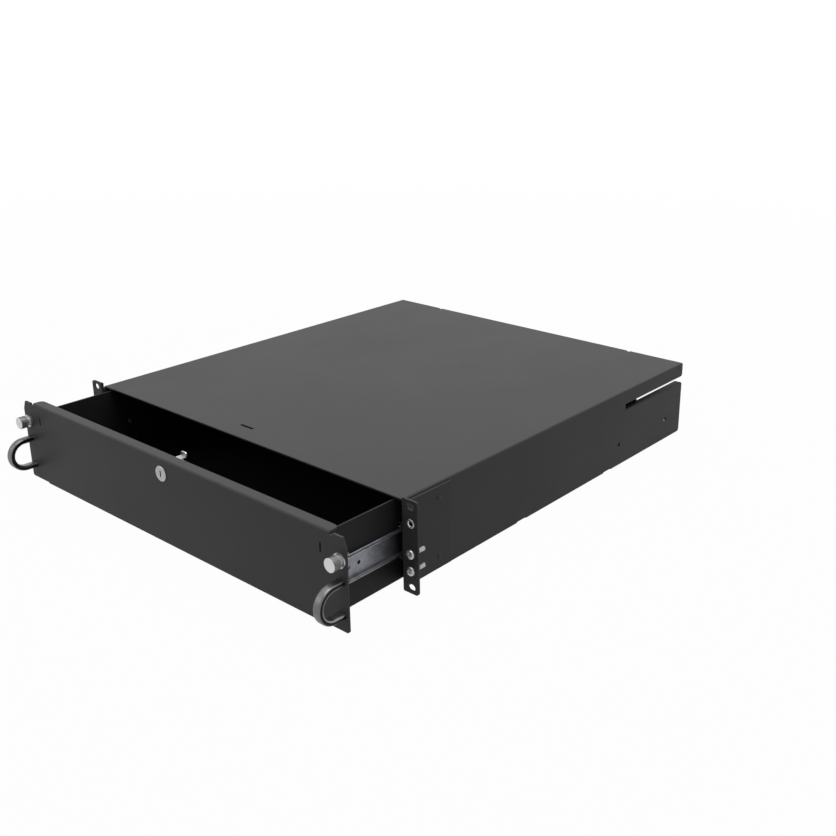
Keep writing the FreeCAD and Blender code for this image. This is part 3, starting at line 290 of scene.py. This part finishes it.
def setLamps():
    for i, (place, aim, size, watts) in enumerate(studio["lamps"]):
        data = bpy.data.lights.new("softbox%d" % i, "AREA")
        data.shape = "SQUARE"
        data.size = size
        data.energy = watts
        lamp = bpy.data.objects.new("softbox%d" % i, data)
        lamp.location = place
        lamp.rotation_mode = "QUATERNION"
        lamp.rotation_quaternion = (Vector(aim) - Vector(place)).to_track_quat("-Z", "Y")
        bpy.context.collection.objects.link(lamp)


setFloor()
setWorld()
setLamps()
bpy.context.scene.view_settings.view_transform = "Standard"
print("studio set")


def grey(level):
    return (level, level, level)


# Powder coat: fine orange peel, faint clouds, edges rubbed a little lighter
powderCoat = {
    "sleeve": {"colour": grey(0.043), "cloud": grey(0.051), "rough": (0.44, 0.54)},
    "drawer": {"colour": grey(0.045), "cloud": grey(0.052), "rough": (0.44, 0.54)},
    # The tray's coat is painted darker than the rest: painted shade inside the drawer and on its shaded
    # sides
    "trayPaintedShade": {"colour": (0.015, 0.015, 0.0155), "cloud": (0.019, 0.019, 0.0195), "rough": (0.48, 0.58)},
    "ear": {"colour": grey(0.037), "cloud": grey(0.044), "rough": (0.44, 0.54)},
    "edgeColour": grey(0.10),
    "edgeRadius": 0.35 * mm,
    "edgePatches": 160.0,
    "edgeSpan": (0.35, 0.65),
    "edgeWear": (0.15, 0.8),
    "shine": 0.12,
    "peelScale": 900.0,
    "peelDepth": 0.03 * mm,
    "peelStrength": 0.35,
    "cloudScale": 9.0,
    "cloudShare": 0.75,
    "speckScale": 2600.0,
    "speckSpan": (0.45, 0.75),
    "speckShare": 0.35,
    "scuffScale": (700.0, 40.0, 40.0),
    "scuffSpan": (0.55, 0.8),
    "scuffPolish": 0.05,
}


def powderCoatMaterial(name, look):
    made, tree, shader, place = principled(name)
    clouds = noise(tree, place, "fine", powderCoat["cloudScale"])
    specks = noise(tree, place, "soft", powderCoat["speckScale"])
    share = combined(tree, "ADD", spread(tree, clouds, 0.0, powderCoat["cloudShare"]),
                     ranged(tree, specks, *powderCoat["speckSpan"], 0.0, powderCoat["speckShare"]))
    coat = blended(tree, share, look["colour"], look["cloud"])
    rounded = roundedNormal(tree, powderCoat["edgeRadius"])
    patches = noise(tree, place, "fine", powderCoat["edgePatches"])
    wear = combined(tree, "MULTIPLY", edgeShare(tree, rounded),
                    ranged(tree, patches, *powderCoat["edgeSpan"], *powderCoat["edgeWear"]))
    coat = blended(tree, wear, coat, powderCoat["edgeColour"])
    tree.links.new(coat, shader.inputs["Base Color"])
    shader.inputs["Specular IOR Level"].default_value = powderCoat["shine"]
    scuffs = noise(tree, stretched(tree, place, powderCoat["scuffScale"]), "soft")
    rough = combined(tree, "ADD", spread(tree, clouds, *look["rough"]),
                     ranged(tree, scuffs, *powderCoat["scuffSpan"], 0.0, -powderCoat["scuffPolish"]))
    tree.links.new(rough, shader.inputs["Roughness"])
    peel = noise(tree, place, "pebbled", powderCoat["peelScale"])
    normal = bumped(tree, peel, powderCoat["peelStrength"], powderCoat["peelDepth"], rounded)
    tree.links.new(normal, shader.inputs["Normal"])
    return made


# Zinc: mottled spangle with faint drawing lines along the slide
zincPlate = {
    "dark": (0.14, 0.142, 0.157),
    "light": (0.33, 0.335, 0.365),
    "spangle": 260.0,
    "spangleShare": 0.25,
    "patches": 420.0,
    "patchShare": 0.4,
    "broad": 45.0,
    "broadShare": 0.35,
    "lines": (60.0, 6.0, 2400.0),
    "lineSpan": (0.4, 0.6),
    "lineRough": 0.04,
    "rough": (0.34, 0.52),
    "edgeRadius": 0.2 * mm,
    "patchHeight": 0.6,           # of a drawing line's
    "bumpStrength": 0.25,
    "bumpDepth": 0.01 * mm,
}


def zincMaterial(name):
    look = zincPlate
    made, tree, shader, place = principled(name)
    cells = tree.nodes.new("ShaderNodeTexVoronoi")
    cells.inputs["Scale"].default_value = look["spangle"]
    tree.links.new(place, cells.inputs["Vector"])
    grey = tree.nodes.new("ShaderNodeSeparateColor")
    tree.links.new(cells.outputs["Color"], grey.inputs["Color"])
    patches = noise(tree, place, "gritty", look["patches"])
    broad = noise(tree, place, "middling", look["broad"])
    lines = noise(tree, stretched(tree, place, look["lines"]), "soft")
    share = combined(tree, "ADD", combined(tree, "MULTIPLY", grey.outputs[0], look["spangleShare"]),
                     combined(tree, "ADD", spread(tree, patches, 0.0, look["patchShare"]),
                              spread(tree, broad, 0.0, look["broadShare"])))
    tree.links.new(blended(tree, share, look["dark"], look["light"]), shader.inputs["Base Color"])
    shader.inputs["Metallic"].default_value = 1.0
    rough = combined(tree, "ADD", spread(tree, patches, *look["rough"]),
                     ranged(tree, lines, *look["lineSpan"], -look["lineRough"], look["lineRough"]))
    tree.links.new(rough, shader.inputs["Roughness"])
    height = combined(tree, "ADD", lines, combined(tree, "MULTIPLY", patches, look["patchHeight"]))
    rounded = roundedNormal(tree, look["edgeRadius"])
    normal = bumped(tree, height, look["bumpStrength"], look["bumpDepth"], rounded)
    tree.links.new(normal, shader.inputs["Normal"])
    return made


# Bright metals: plated or turned, with hairline marks. A bevel is in millimetres.
brightMetal = {
    "handle": {"dark": grey(0.11), "light": grey(0.22), "rough": (0.36, 0.46), "bevel": 0.05,
               "facing": ("X", 0.80, 0.94, grey(0.012)),    # axis, from, to, colour of those faces: the bar's sides facing X get a painted dark reflection
               "hairs": (5200.0, 160.0, 160.0), "cloud": 60.0},
    # A painted highlight, worn by the inner side of the handle's bow
    "handleHighlight": {"dark": grey(0.20), "light": grey(0.30), "rough": (0.30, 0.40), "bevel": 0.05},
    # The knob's front face is painted lighter than its knurled sides: a painted highlight
    "knob": {"dark": grey(0.10), "light": grey(0.18), "rough": (0.36, 0.48), "bevel": 0.05,
             "facing": ("Y", 0.6, 0.85, grey(0.60))},
    "ferrule": {"dark": grey(0.40), "light": grey(0.56), "rough": (0.30, 0.42), "bevel": 0.1},
    "screw": {"dark": (0.34, 0.34, 0.33), "light": (0.52, 0.52, 0.50), "rough": (0.30, 0.44), "bevel": 0.15},
    "insert": {"dark": grey(0.80), "light": grey(0.94), "rough": (0.26, 0.38), "bevel": 0.1},
    "lock": {"dark": (0.32, 0.32, 0.33), "light": (0.46, 0.46, 0.47), "rough": (0.28, 0.40), "bevel": 0.15},
    # Painted shade: near-black for the insides of the inserts' bores
    "bore": {"dark": grey(0.010), "light": grey(0.020), "rough": (0.50, 0.60), "bevel": 0.02},
    "ball": {"dark": grey(0.55), "light": grey(0.70), "rough": (0.08, 0.14), "bevel": 0.02},
    "cam": {"dark": grey(0.42), "light": (0.56, 0.56, 0.55), "rough": (0.32, 0.46), "bevel": 0.2},
    "wire": {"dark": (0.20, 0.20, 0.21), "light": (0.34, 0.34, 0.35), "rough": (0.28, 0.40), "bevel": 0.05},
}


# Marks that the bright metals share, unless one has its own
metalMarks = {
    "cloud": 300.0,
    "cloudShare": (0.2, 0.8),
    "hairs": (900.0, 5000.0, 900.0),
    "hairShare": 0.15,
    "bumpStrength": 0.15,
    "bumpDepth": 0.004 * mm,
}


def brightMaterial(name, look):
    made, tree, shader, place = principled(name)
    clouds = noise(tree, place, "fine", look.get("cloud", metalMarks["cloud"]))
    hairs = noise(tree, stretched(tree, place, look.get("hairs", metalMarks["hairs"])), "soft")
    share = combined(tree, "ADD", spread(tree, clouds, *metalMarks["cloudShare"]),
                     spread(tree, hairs, -metalMarks["hairShare"], metalMarks["hairShare"]))
    colour = blended(tree, share, look["dark"], look["light"])
    # Faces along one axis take another colour: painted dark reflection on the handle's sides, painted
    # highlight on the knob's face
    if "facing" in look:
        axis, low, high, faceColour = look["facing"]
        colour = blended(tree, facing(tree, axis, low, high), colour, faceColour)
    tree.links.new(colour, shader.inputs["Base Color"])
    shader.inputs["Metallic"].default_value = 1.0
    tree.links.new(spread(tree, clouds, *look["rough"]), shader.inputs["Roughness"])
    rounded = roundedNormal(tree, look["bevel"] * mm)
    normal = bumped(tree, hairs, metalMarks["bumpStrength"], metalMarks["bumpDepth"], rounded)
    tree.links.new(normal, shader.inputs["Normal"])
    return made


finishes = {look: powderCoatMaterial("powderCoat_" + look, powderCoat[look])
            for look in ("sleeve", "drawer", "trayPaintedShade", "ear")}
finishes["zinc"] = zincMaterial("zincPlate")
for look in brightMetal:
    finishes[look] = brightMaterial("metal_" + look, brightMetal[look])
print("finishes made")


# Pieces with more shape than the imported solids
meshCare = {
    "weldSolid": 0.001 * mm,      # points this near are one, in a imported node
    "weldPiece": 0.0005 * mm,     # and in a new piece
    "sharp": 40.0,                # degrees between faces, where an edge is left sharp
    "touch": 0.001 * mm,          # lengths this near are equal
}


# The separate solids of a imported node, each as its lowest and highest corner
def looseBoxes(name):
    work = bmesh.new()
    work.from_mesh(cadNodes[name].data)
    bmesh.ops.remove_doubles(work, verts=work.verts, dist=meshCare["weldSolid"])
    seen = set()
    boxes = []
    for start in work.verts:
        if start in seen:
            continue
        seen.add(start)
        group = [start]
        for vertex in group:
            for edge in vertex.link_edges:
                other = edge.other_vert(vertex)
                if other not in seen:
                    seen.add(other)
                    group.append(other)
        low = Vector([min(vertex.co[i] for vertex in group) for i in range(3)])
        high = Vector([max(vertex.co[i] for vertex in group) for i in range(3)])
        boxes.append((low, high))
    work.free()
    return boxes


# Joins rows of points, all of one length, into a skin
def skin(work, rows, closedRows, closedEnds=False):
    made = [[work.verts.new(point) for point in row] for row in rows]
    if closedEnds:
        made.append(made[0])
    steps = len(rows[0])
    for near, far in zip(made, made[1:]):
        for i in range(steps if closedRows else steps - 1):
            j = (i + 1) % steps
            work.faces.new((near[i], near[j], far[j], far[i]))
    return made


def pieceFrom(name, work, finish, sharp=meshCare["sharp"]):
    bmesh.ops.remove_doubles(work, verts=work.verts, dist=meshCare["weldPiece"])
    bmesh.ops.recalc_face_normals(work, faces=work.faces)
    mesh = bpy.data.meshes.new(name)
    work.to_mesh(mesh)
    work.free()
    mesh.materials.append(finishes[finish])
    for face in mesh.polygons:
        face.use_smooth = True
    mesh.set_sharp_from_angle(angle=math.radians(sharp))
    piece = bpy.data.objects.new(name, mesh)
    bpy.context.collection.objects.link(piece)
    return piece


# A turned solid about a line along Y. A profile point is (radius, y); shape moves it by its angle.
def turned(work, axisX, axisZ, profile, steps, shape=None, bored=False):
    rows = []
    for radius, y in profile:
        row = []
        for i in range(steps):
            angle = 2 * math.pi * i / steps
            r, along = shape(radius, y, angle) if shape else (radius, y)
            row.append((axisX + r * math.cos(angle), along, axisZ + r * math.sin(angle)))
        rows.append(row)
    skin(work, rows, True, bored)


# Points of a profile at one radius, from one y to another
def stretch(radius, start, end, count):
    return [(radius, start + (end - start) * i / count) for i in range(count + 1)]


# How far a screw thread lies below its crest
def threadDepth(y, angle, pitch, depth):
    turn = (y / pitch - angle / (2 * math.pi)) % 1.0
    return depth * (1 - abs(2 * turn - 1))


# A soft step from 0 to 1
def smooth(value):
    value = min(max(value, 0.0), 1.0)
    return value * value * (3 - 2 * value)


# A section carried along a path of (centre, side, up)
def swept(work, path, section):
    rows = [[centre + side * a + up * b for a, b in section] for centre, side, up in path]
    made = skin(work, rows, True)
    work.faces.new(made[0])
    work.faces.new(made[-1])


# Section of a bar with rounded corners, one quarter turn after another
def barSection(wide, thick, corner, steps):
    points = []
    for turn, x, z in ((0, 1, 1), (1, -1, 1), (2, -1, -1), (3, 1, -1)):
        for i in range(steps + 1):
            angle = math.radians(90) * (turn + i / steps)
            points.append((x * (wide / 2 - corner) + corner * math.cos(angle),
                           z * (thick / 2 - corner) + corner * math.sin(angle)))
    return points


# Handles: rounded bar bent to a U
handle = {
    "thick": 5.4 * mm,
    "corner": 1.9 * mm,
    "highlightInset": 1.0 * mm,         # faces this far inside the bar's middle line get a painted highlight
    "cornerSteps": 6,
    "bendSteps": 32,
    "legSteps": 4,
}


def makeHandle(side):
    low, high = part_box("handle_" + side)
    wide = high.x - low.x
    thick = handle["thick"]
    radius = (high.z - low.z - thick) / 2
    middle = (low + high) / 2
    bendY = low.y + thick / 2 + radius
    across = Vector((1, 0, 0))
    path = []
    for i in range(handle["legSteps"]):
        y = high.y + (bendY - high.y) * i / handle["legSteps"]
        path.append((Vector((middle.x, y, middle.z - radius)), across, Vector((0, 0, -1))))
    for i in range(handle["bendSteps"] + 1):
        angle = math.pi * (i / handle["bendSteps"] - 0.5)
        out = Vector((0, -math.cos(angle), math.sin(angle)))
        path.append((Vector((middle.x, bendY, middle.z)) + out * radius, across, out))
    for i in range(handle["legSteps"]):
        y = bendY + (high.y - bendY) * (i + 1) / handle["legSteps"]
        path.append((Vector((middle.x, y, middle.z + radius)), across, Vector((0, 0, 1))))
    work = bmesh.new()
    section = barSection(wide, thick, handle["corner"], handle["cornerSteps"])
    swept(work, path, section)
    piece = pieceFrom("barHandle_" + side, work, "handle")
    # The inner side of the bow gets the brighter finish: a painted highlight
    piece.data.materials.append(finishes["handleHighlight"])
    for face in piece.data.polygons:
        ahead = min(face.center.y - bendY, 0.0)
        if radius - math.hypot(ahead, face.center.z - middle.z) > handle["highlightInset"]:
            face.material_index = 1
    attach(piece, "drawer")
    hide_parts("handle_" + side)


# Thumbscrews: knurled knob, threaded shaft and wound spring
thumbscrew = {
    "teeth": 34,
    "stepsPerTooth": 5,
    "knurlPitch": 1.1 * mm,
    "knurlDepth": 0.38 * mm,
    "knurlRows": 26,
    "faceWall": 1.6 * mm,
    "skirtWall": 1.4 * mm,
    "shaftSeat": 0.8 * mm,
    "edge": 0.5 * mm,
    "dish": 0.25 * mm,
    "dishParts": (0.5, 0.62, 0.72),    # shares of the radius where the dish is full, nearly gone, gone
    "easing": 0.3,                # share of a dish or an edge at its middle point
    "knobSharp": 60.0,
    "shaftSharp": 30.0,
    "threadGap": 0.15 * mm,       # plain shaft behind the retaining ring
    "threadPitch": 0.7 * mm,
    "threadDepth": 0.38 * mm,
    "rowsPerPitch": 8,
    "shaftSteps": 28,
    "point": 0.7 * mm,
    "wire": 0.5 * mm,
    "turns": 5,
    "stepsPerTurn": 18,
    "wireSteps": 2,
    "pressed": 2.2 * mm,
}


def shaftRadius(side):
    low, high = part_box("thumbscrew_shaft_" + side)
    return (high.x - low.x) / 2


def makeKnob(side):
    low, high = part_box("thumbscrew_knob_" + side)
    look = thumbscrew
    radius = (high.x - low.x) / 2
    middle = (low + high) / 2
    gripStart = low.y + look["edge"]
    gripEnd = high.y - look["edge"] / 2
    bore = radius - look["skirtWall"]
    shaft = shaftRadius(side)
    grooves = 2 * math.pi / look["knurlPitch"]
    touch = meshCare["touch"]
    ease = look["easing"]
    inner, outer, rim = [radius * part for part in look["dishParts"]]

    def knurl(r, y, angle):
        if r < radius - touch or y < gripStart + touch or y > gripEnd - touch:
            return r, y
        climb = grooves * (y - gripStart)
        ridge = abs(math.sin((look["teeth"] * angle + climb) / 2))
        ridge *= abs(math.sin((look["teeth"] * angle - climb) / 2))
        return r - look["knurlDepth"] * (1 - ridge), y

    profile = [(0, low.y + look["dish"]), (inner, low.y + look["dish"]),
               (outer, low.y + look["dish"] * ease), (rim, low.y),
               (radius - look["edge"], low.y), (radius - look["edge"] * ease, low.y + look["edge"] * ease)]
    profile += stretch(radius, gripStart, gripEnd, look["knurlRows"])
    profile += [(radius - look["edge"] / 2, high.y), (bore, high.y), (bore, low.y + look["faceWall"]),
                (shaft, low.y + look["faceWall"]), (shaft, low.y + look["shaftSeat"]),
                (0, low.y + look["shaftSeat"])]
    work = bmesh.new()
    turned(work, middle.x, middle.z, profile, look["teeth"] * look["stepsPerTooth"], knurl)
    piece = pieceFrom("knurledKnob_" + side, work, "knob", look["knobSharp"])
    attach(piece, "thumb_knob_" + side)
    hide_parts("thumbscrew_knob_" + side)


def makeShaft(side):
    low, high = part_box("thumbscrew_shaft_" + side)
    look = thumbscrew
    radius = shaftRadius(side)
    middle = (low + high) / 2
    clipLow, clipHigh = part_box("thumbscrew_clip_" + side)
    threadStart = clipHigh.y + look["threadGap"]
    tip = high.y - look["point"]

    def thread(r, y, angle):
        if y <= threadStart or r < radius / 2:
            return r, y
        room = min(1.0, (y - threadStart) / look["threadPitch"])
        return max(r - room * threadDepth(y, angle, look["threadPitch"], look["threadDepth"]), 0), y

    count = round((tip - threadStart) / look["threadPitch"] * look["rowsPerPitch"])
    profile = [(0, low.y), (radius, low.y), (radius, threadStart)]
    profile += stretch(radius, threadStart, tip, count)[1:]
    profile += [(radius - look["point"] * 0.5, high.y - look["point"] * 0.5),
                (radius - look["point"], high.y), (0, high.y)]
    work = bmesh.new()
    turned(work, middle.x, middle.z, profile, look["shaftSteps"], thread)
    piece = pieceFrom("threadedShaft_" + side, work, "screw", look["shaftSharp"])
    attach(piece, "thumb_knob_" + side)
    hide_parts("thumbscrew_shaft_" + side)


def makeSpring(side):
    low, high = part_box("thumbscrew_spring_" + side)
    look = thumbscrew
    wire = look["wire"] / 2
    radius = (high.x - low.x) / 2 - wire
    middle = (low + high) / 2
    steps = look["stepsPerTurn"]
    count = look["turns"] * steps
    path = []
    for i in range(count + 1):
        angle = 2 * math.pi * i / steps
        out = Vector((math.cos(angle), 0, math.sin(angle)))
        y = low.y + wire + (high.y - low.y - 2 * wire) * i / count
        path.append((Vector((middle.x, y, middle.z)) + out * radius, out, Vector((0, 1, 0))))
    work = bmesh.new()
    swept(work, path, barSection(look["wire"], look["wire"], wire, look["wireSteps"]))
    piece = pieceFrom("woundSpring_" + side, work, "wire")
    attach(piece, "thumb_press_" + side)
    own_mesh(piece)
    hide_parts("thumbscrew_spring_" + side)


# Rack screws: domed head, cross recess, threaded shank
rackScrew = {
    "rim": 1.0 * mm,
    "headHigh": 2.6 * mm,
    "earSheet": 2.0 * mm,
    "neck": 2.2 * mm,
    "shank": 2.5 * mm,
    "threadPitch": 0.8 * mm,
    "threadDepth": 0.42 * mm,
    "rowsPerPitch": 6,
    "point": 0.5 * mm,
    "pointTaper": 0.6 * mm,
    "seatEdge": 0.1 * mm,
    "domePower": 2.6,             # 2 is round, more is flatter
    "crossWide": 0.55 * mm,
    "crossLong": 2.4 * mm,
    "crossDeep": 1.5 * mm,
    "crossReach": 2.64 * mm,      # no recess beyond this radius
    "sideSlope": 0.35 * mm,
    "endSlope": 0.5 * mm,
    "headRings": 14,
    "steps": 64,
    "sharp": 30.0,
}


def makeRackScrews():
    look = rackScrew
    work = bmesh.new()
    for low, high in looseBoxes("rack_screws"):
        radius = (high.x - low.x) / 2
        middle = (low + high) / 2
        seat = low.y + look["headHigh"]
        rim = seat - look["rim"]

        def recess(r, y, angle):
            if y > rim or r > look["crossReach"]:
                return r, y
            a = abs(r * math.cos(angle))
            b = abs(r * math.sin(angle))
            near, far = min(a, b), max(a, b)
            inside = smooth((look["crossWide"] - near) / look["sideSlope"] + 0.5)
            inside *= smooth((look["crossLong"] - far) / look["endSlope"] + 0.5)
            return r, y + look["crossDeep"] * inside * (1 - 0.5 * far / look["crossLong"])

        def thread(r, y, angle):
            if y <= seat + look["earSheet"] or r < look["neck"]:
                return r, y
            return r - threadDepth(y, angle, look["threadPitch"], look["threadDepth"]), y

        dome = []
        for i in range(look["headRings"] + 1):
            part = i / look["headRings"]
            r = radius * part
            dome.append((r, rim - (rim - low.y) * math.sqrt(max(0.0, 1 - part ** look["domePower"]))))
        edge = look["seatEdge"]
        head = dome + [(radius, seat - edge), (radius - edge, seat), (look["neck"], seat)]
        turned(work, middle.x, middle.z, head, look["steps"], recess)
        threadStart = seat + look["earSheet"]
        end = high.y - look["point"]
        count = round((end - threadStart) / look["threadPitch"] * look["rowsPerPitch"])
        shank = [(look["neck"], seat), (look["neck"], threadStart)]
        shank += stretch(look["shank"], threadStart, end, count)
        shank += [(look["shank"] - look["pointTaper"], high.y), (0, high.y)]
        turned(work, middle.x, middle.z, shank, look["steps"] // 2, thread)
    piece = pieceFrom("crossScrews", work, "screw", look["sharp"])
    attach(piece, "housing")
    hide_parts("rack_screws")


# Threaded inserts: bright flange, chamfered bore, ribbed body behind the ear
insert = {
    "flangeHigh": 0.3 * mm,
    "body": 3.5 * mm,
    "bore": 2.1 * mm,
    "mouth": 0.35 * mm,
    "flangeEdge": (0.2 * mm, 0.12 * mm),
    "bodyEdge": 0.4 * mm,
    "earSheet": 2.0 * mm,
    "ribs": 24,
    "stepsPerRib": 4,
    "ribStart": 0.1 * mm,
    "ribDepth": 0.16 * mm,
    "boreShare": 1.01,            # faces within this share of the bore's radius get painted shade
    "sharp": 30.0,
}


def makeInserts():
    look = insert
    work = bmesh.new()
    boxes = looseBoxes("threaded_inserts")
    for low, high in boxes:
        radius = (high.x - low.x) / 2
        middle = (low + high) / 2
        seat = low.y + look["flangeHigh"]
        behind = seat + look["earSheet"]
        edgeIn, edgeBack = look["flangeEdge"]

        def ribs(r, y, angle):
            if abs(r - look["body"]) > meshCare["touch"] or y < behind:
                return r, y
            return r - look["ribDepth"] * (0.5 + 0.5 * math.cos(look["ribs"] * angle)), y

        profile = [(look["bore"], low.y + look["mouth"]), (look["bore"] + look["mouth"], low.y),
                   (radius - edgeIn, low.y), (radius, low.y + edgeBack), (radius, seat),
                   (look["body"], seat), (look["body"], behind)]
        profile += stretch(look["body"], behind + look["ribStart"], high.y - look["bodyEdge"], 2)
        profile += [(look["body"] - look["bodyEdge"], high.y), (look["bore"], high.y)]
        turned(work, middle.x, middle.z, profile, look["ribs"] * look["stepsPerRib"], ribs, True)
    piece = pieceFrom("ribbedInserts", work, "insert", look["sharp"])
    # Faces in the bores wear the near-black finish: painted shade
    piece.data.materials.append(finishes["bore"])
    centres = [(low + high) / 2 for low, high in boxes]
    for face in piece.data.polygons:
        near = min(math.hypot(face.center.x - c.x, face.center.z - c.z) for c in centres)
        if near < look["bore"] * look["boreShare"]:
            face.material_index = 1
    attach(piece, "housing")
    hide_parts("threaded_inserts")


# Lock cam: one bent strip with a hub, its tab's corners rounded
cam = {
    "sheet": 1.5 * mm,
    "bend": 0.5 * mm,
    "wide": 8.1 * mm,
    "shelfTop": 4.9 * mm,         # above the lock's axis
    "tabShort": 0.6 * mm,         # top of the tab below the solid's
    "tabCorner": 2.0 * mm,
    "hub": 4.5 * mm,
    "hubBore": 3.6 * mm,
    "hubSteps": 48,
    "bendSteps": 8,
}


def makeCam():
    look = cam
    low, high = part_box("lock_cam")
    plugLow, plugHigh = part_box("lock_plug")
    axis = (plugLow + plugHigh) / 2
    half = look["sheet"] / 2
    turn = look["bend"] + half
    armY = low.y + half
    tabY = high.y - half
    shelfZ = axis.z + look["shelfTop"] - half
    tabTop = high.z - look["tabShort"]
    path = [(armY, axis.z - look["hub"] / 2, 0.0)]
    for i in range(look["bendSteps"] + 1):
        angle = math.radians(90) * i / look["bendSteps"]
        run, climb = turn * math.cos(angle), turn * math.sin(angle)
        path.append((armY + turn - run, shelfZ - turn + climb, angle))
    for i in range(look["bendSteps"] + 1):
        angle = math.radians(90) * (1 - i / look["bendSteps"])
        run, climb = turn * math.cos(angle), turn * math.sin(angle)
        path.append((tabY - turn + run, shelfZ + turn - climb, angle))
    corner = look["tabCorner"]
    for i in range(look["bendSteps"] + 1):
        angle = math.radians(90) * i / look["bendSteps"]
        path.append((tabY, tabTop - corner + corner * math.sin(angle), 0.0))
    middleX = low.x + look["wide"] / 2
    rows = []
    for y, z, angle in path:
        left = max(z - (tabTop - corner), 0.0)
        inset = corner - math.sqrt(max(corner ** 2 - left ** 2, 0.0))
        reach = look["wide"] / 2 - inset
        front = Vector((0, -math.cos(angle), math.sin(angle))) * half
        centre = Vector((middleX, y, z))
        side = Vector((reach, 0, 0))
        rows.append([centre - side + front, centre + side + front,
                     centre + side - front, centre - side - front])
    work = bmesh.new()
    made = skin(work, rows, True)
    work.faces.new(made[0])
    work.faces.new(made[-1])
    disc = [(look["hubBore"], low.y), (look["hub"], low.y), (look["hub"], low.y + look["sheet"]),
            (look["hubBore"], low.y + look["sheet"])]
    turned(work, axis.x, axis.z, disc, look["hubSteps"], None, True)
    piece = pieceFrom("bentCam", work, "cam")
    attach(piece, "lock")
    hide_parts("lock_cam")


# Balls of the slides, smooth
ball = {
    "steps": 20,
    "sharp": 60.0,
}


def makeBalls(kind, side):
    name = "%s_balls_%s" % (kind, side)
    work = bmesh.new()
    for low, high in looseBoxes(name):
        middle = (low + high) / 2
        radius = (high.y - low.y) / 2
        half = ball["steps"] // 2
        profile = []
        for i in range(half + 1):
            angle = math.pi * i / half
            profile.append((radius * math.sin(angle), middle.y - radius * math.cos(angle)))
        turned(work, middle.x, middle.z, profile, ball["steps"])
    piece = pieceFrom("%sBalls_%s" % (kind, side), work, "ball", ball["sharp"])
    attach(piece, "%s_cage_%s" % (kind, side))
    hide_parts(name)


for side in sides:
    makeHandle(side)
    makeKnob(side)
    makeShaft(side)
    makeSpring(side)
    for kind in ("outer", "inner"):
        makeBalls(kind, side)
makeRackScrews()
makeInserts()
makeCam()
print("detail pieces made")


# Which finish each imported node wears, by the start of its name
nodeFinish = (
    ("housing_shell", "sleeve"), ("floor_brace", "sleeve"), ("ear_bracket", "ear"),
    ("ear_rivets", "ear"), ("threaded_inserts", "lock"), ("rack_screws", "screw"),
    ("cabinet_member_rivets", "sleeve"), ("drawer_member_rivets", "zinc"),
    ("slide_", "zinc"), ("outer_ball_cage", "zinc"), ("inner_ball_cage", "zinc"),
    ("outer_balls", "ball"), ("inner_balls", "ball"),
    ("faceplate", "drawer"), ("drawer_", "trayPaintedShade"), ("back_panel_rivets", "trayPaintedShade"),
    ("handle_screws", "screw"), ("handle_", "handle"),
    ("lock_barrel", "lock"), ("lock_plug", "lock"), ("lock_", "cam"),
    ("thumbscrew_knob", "knob"), ("thumbscrew_ferrule", "ferrule"), ("thumbscrew_shaft", "screw"),
    ("thumbscrew_", "wire"),
)


def dressNodes():
    for name, node in cadNodes.items():
        look = next(look for start, look in nodeFinish if name.startswith(start))
        for holder in node.material_slots:
            holder.material = finishes[look]


dressNodes()
print("nodes dressed")
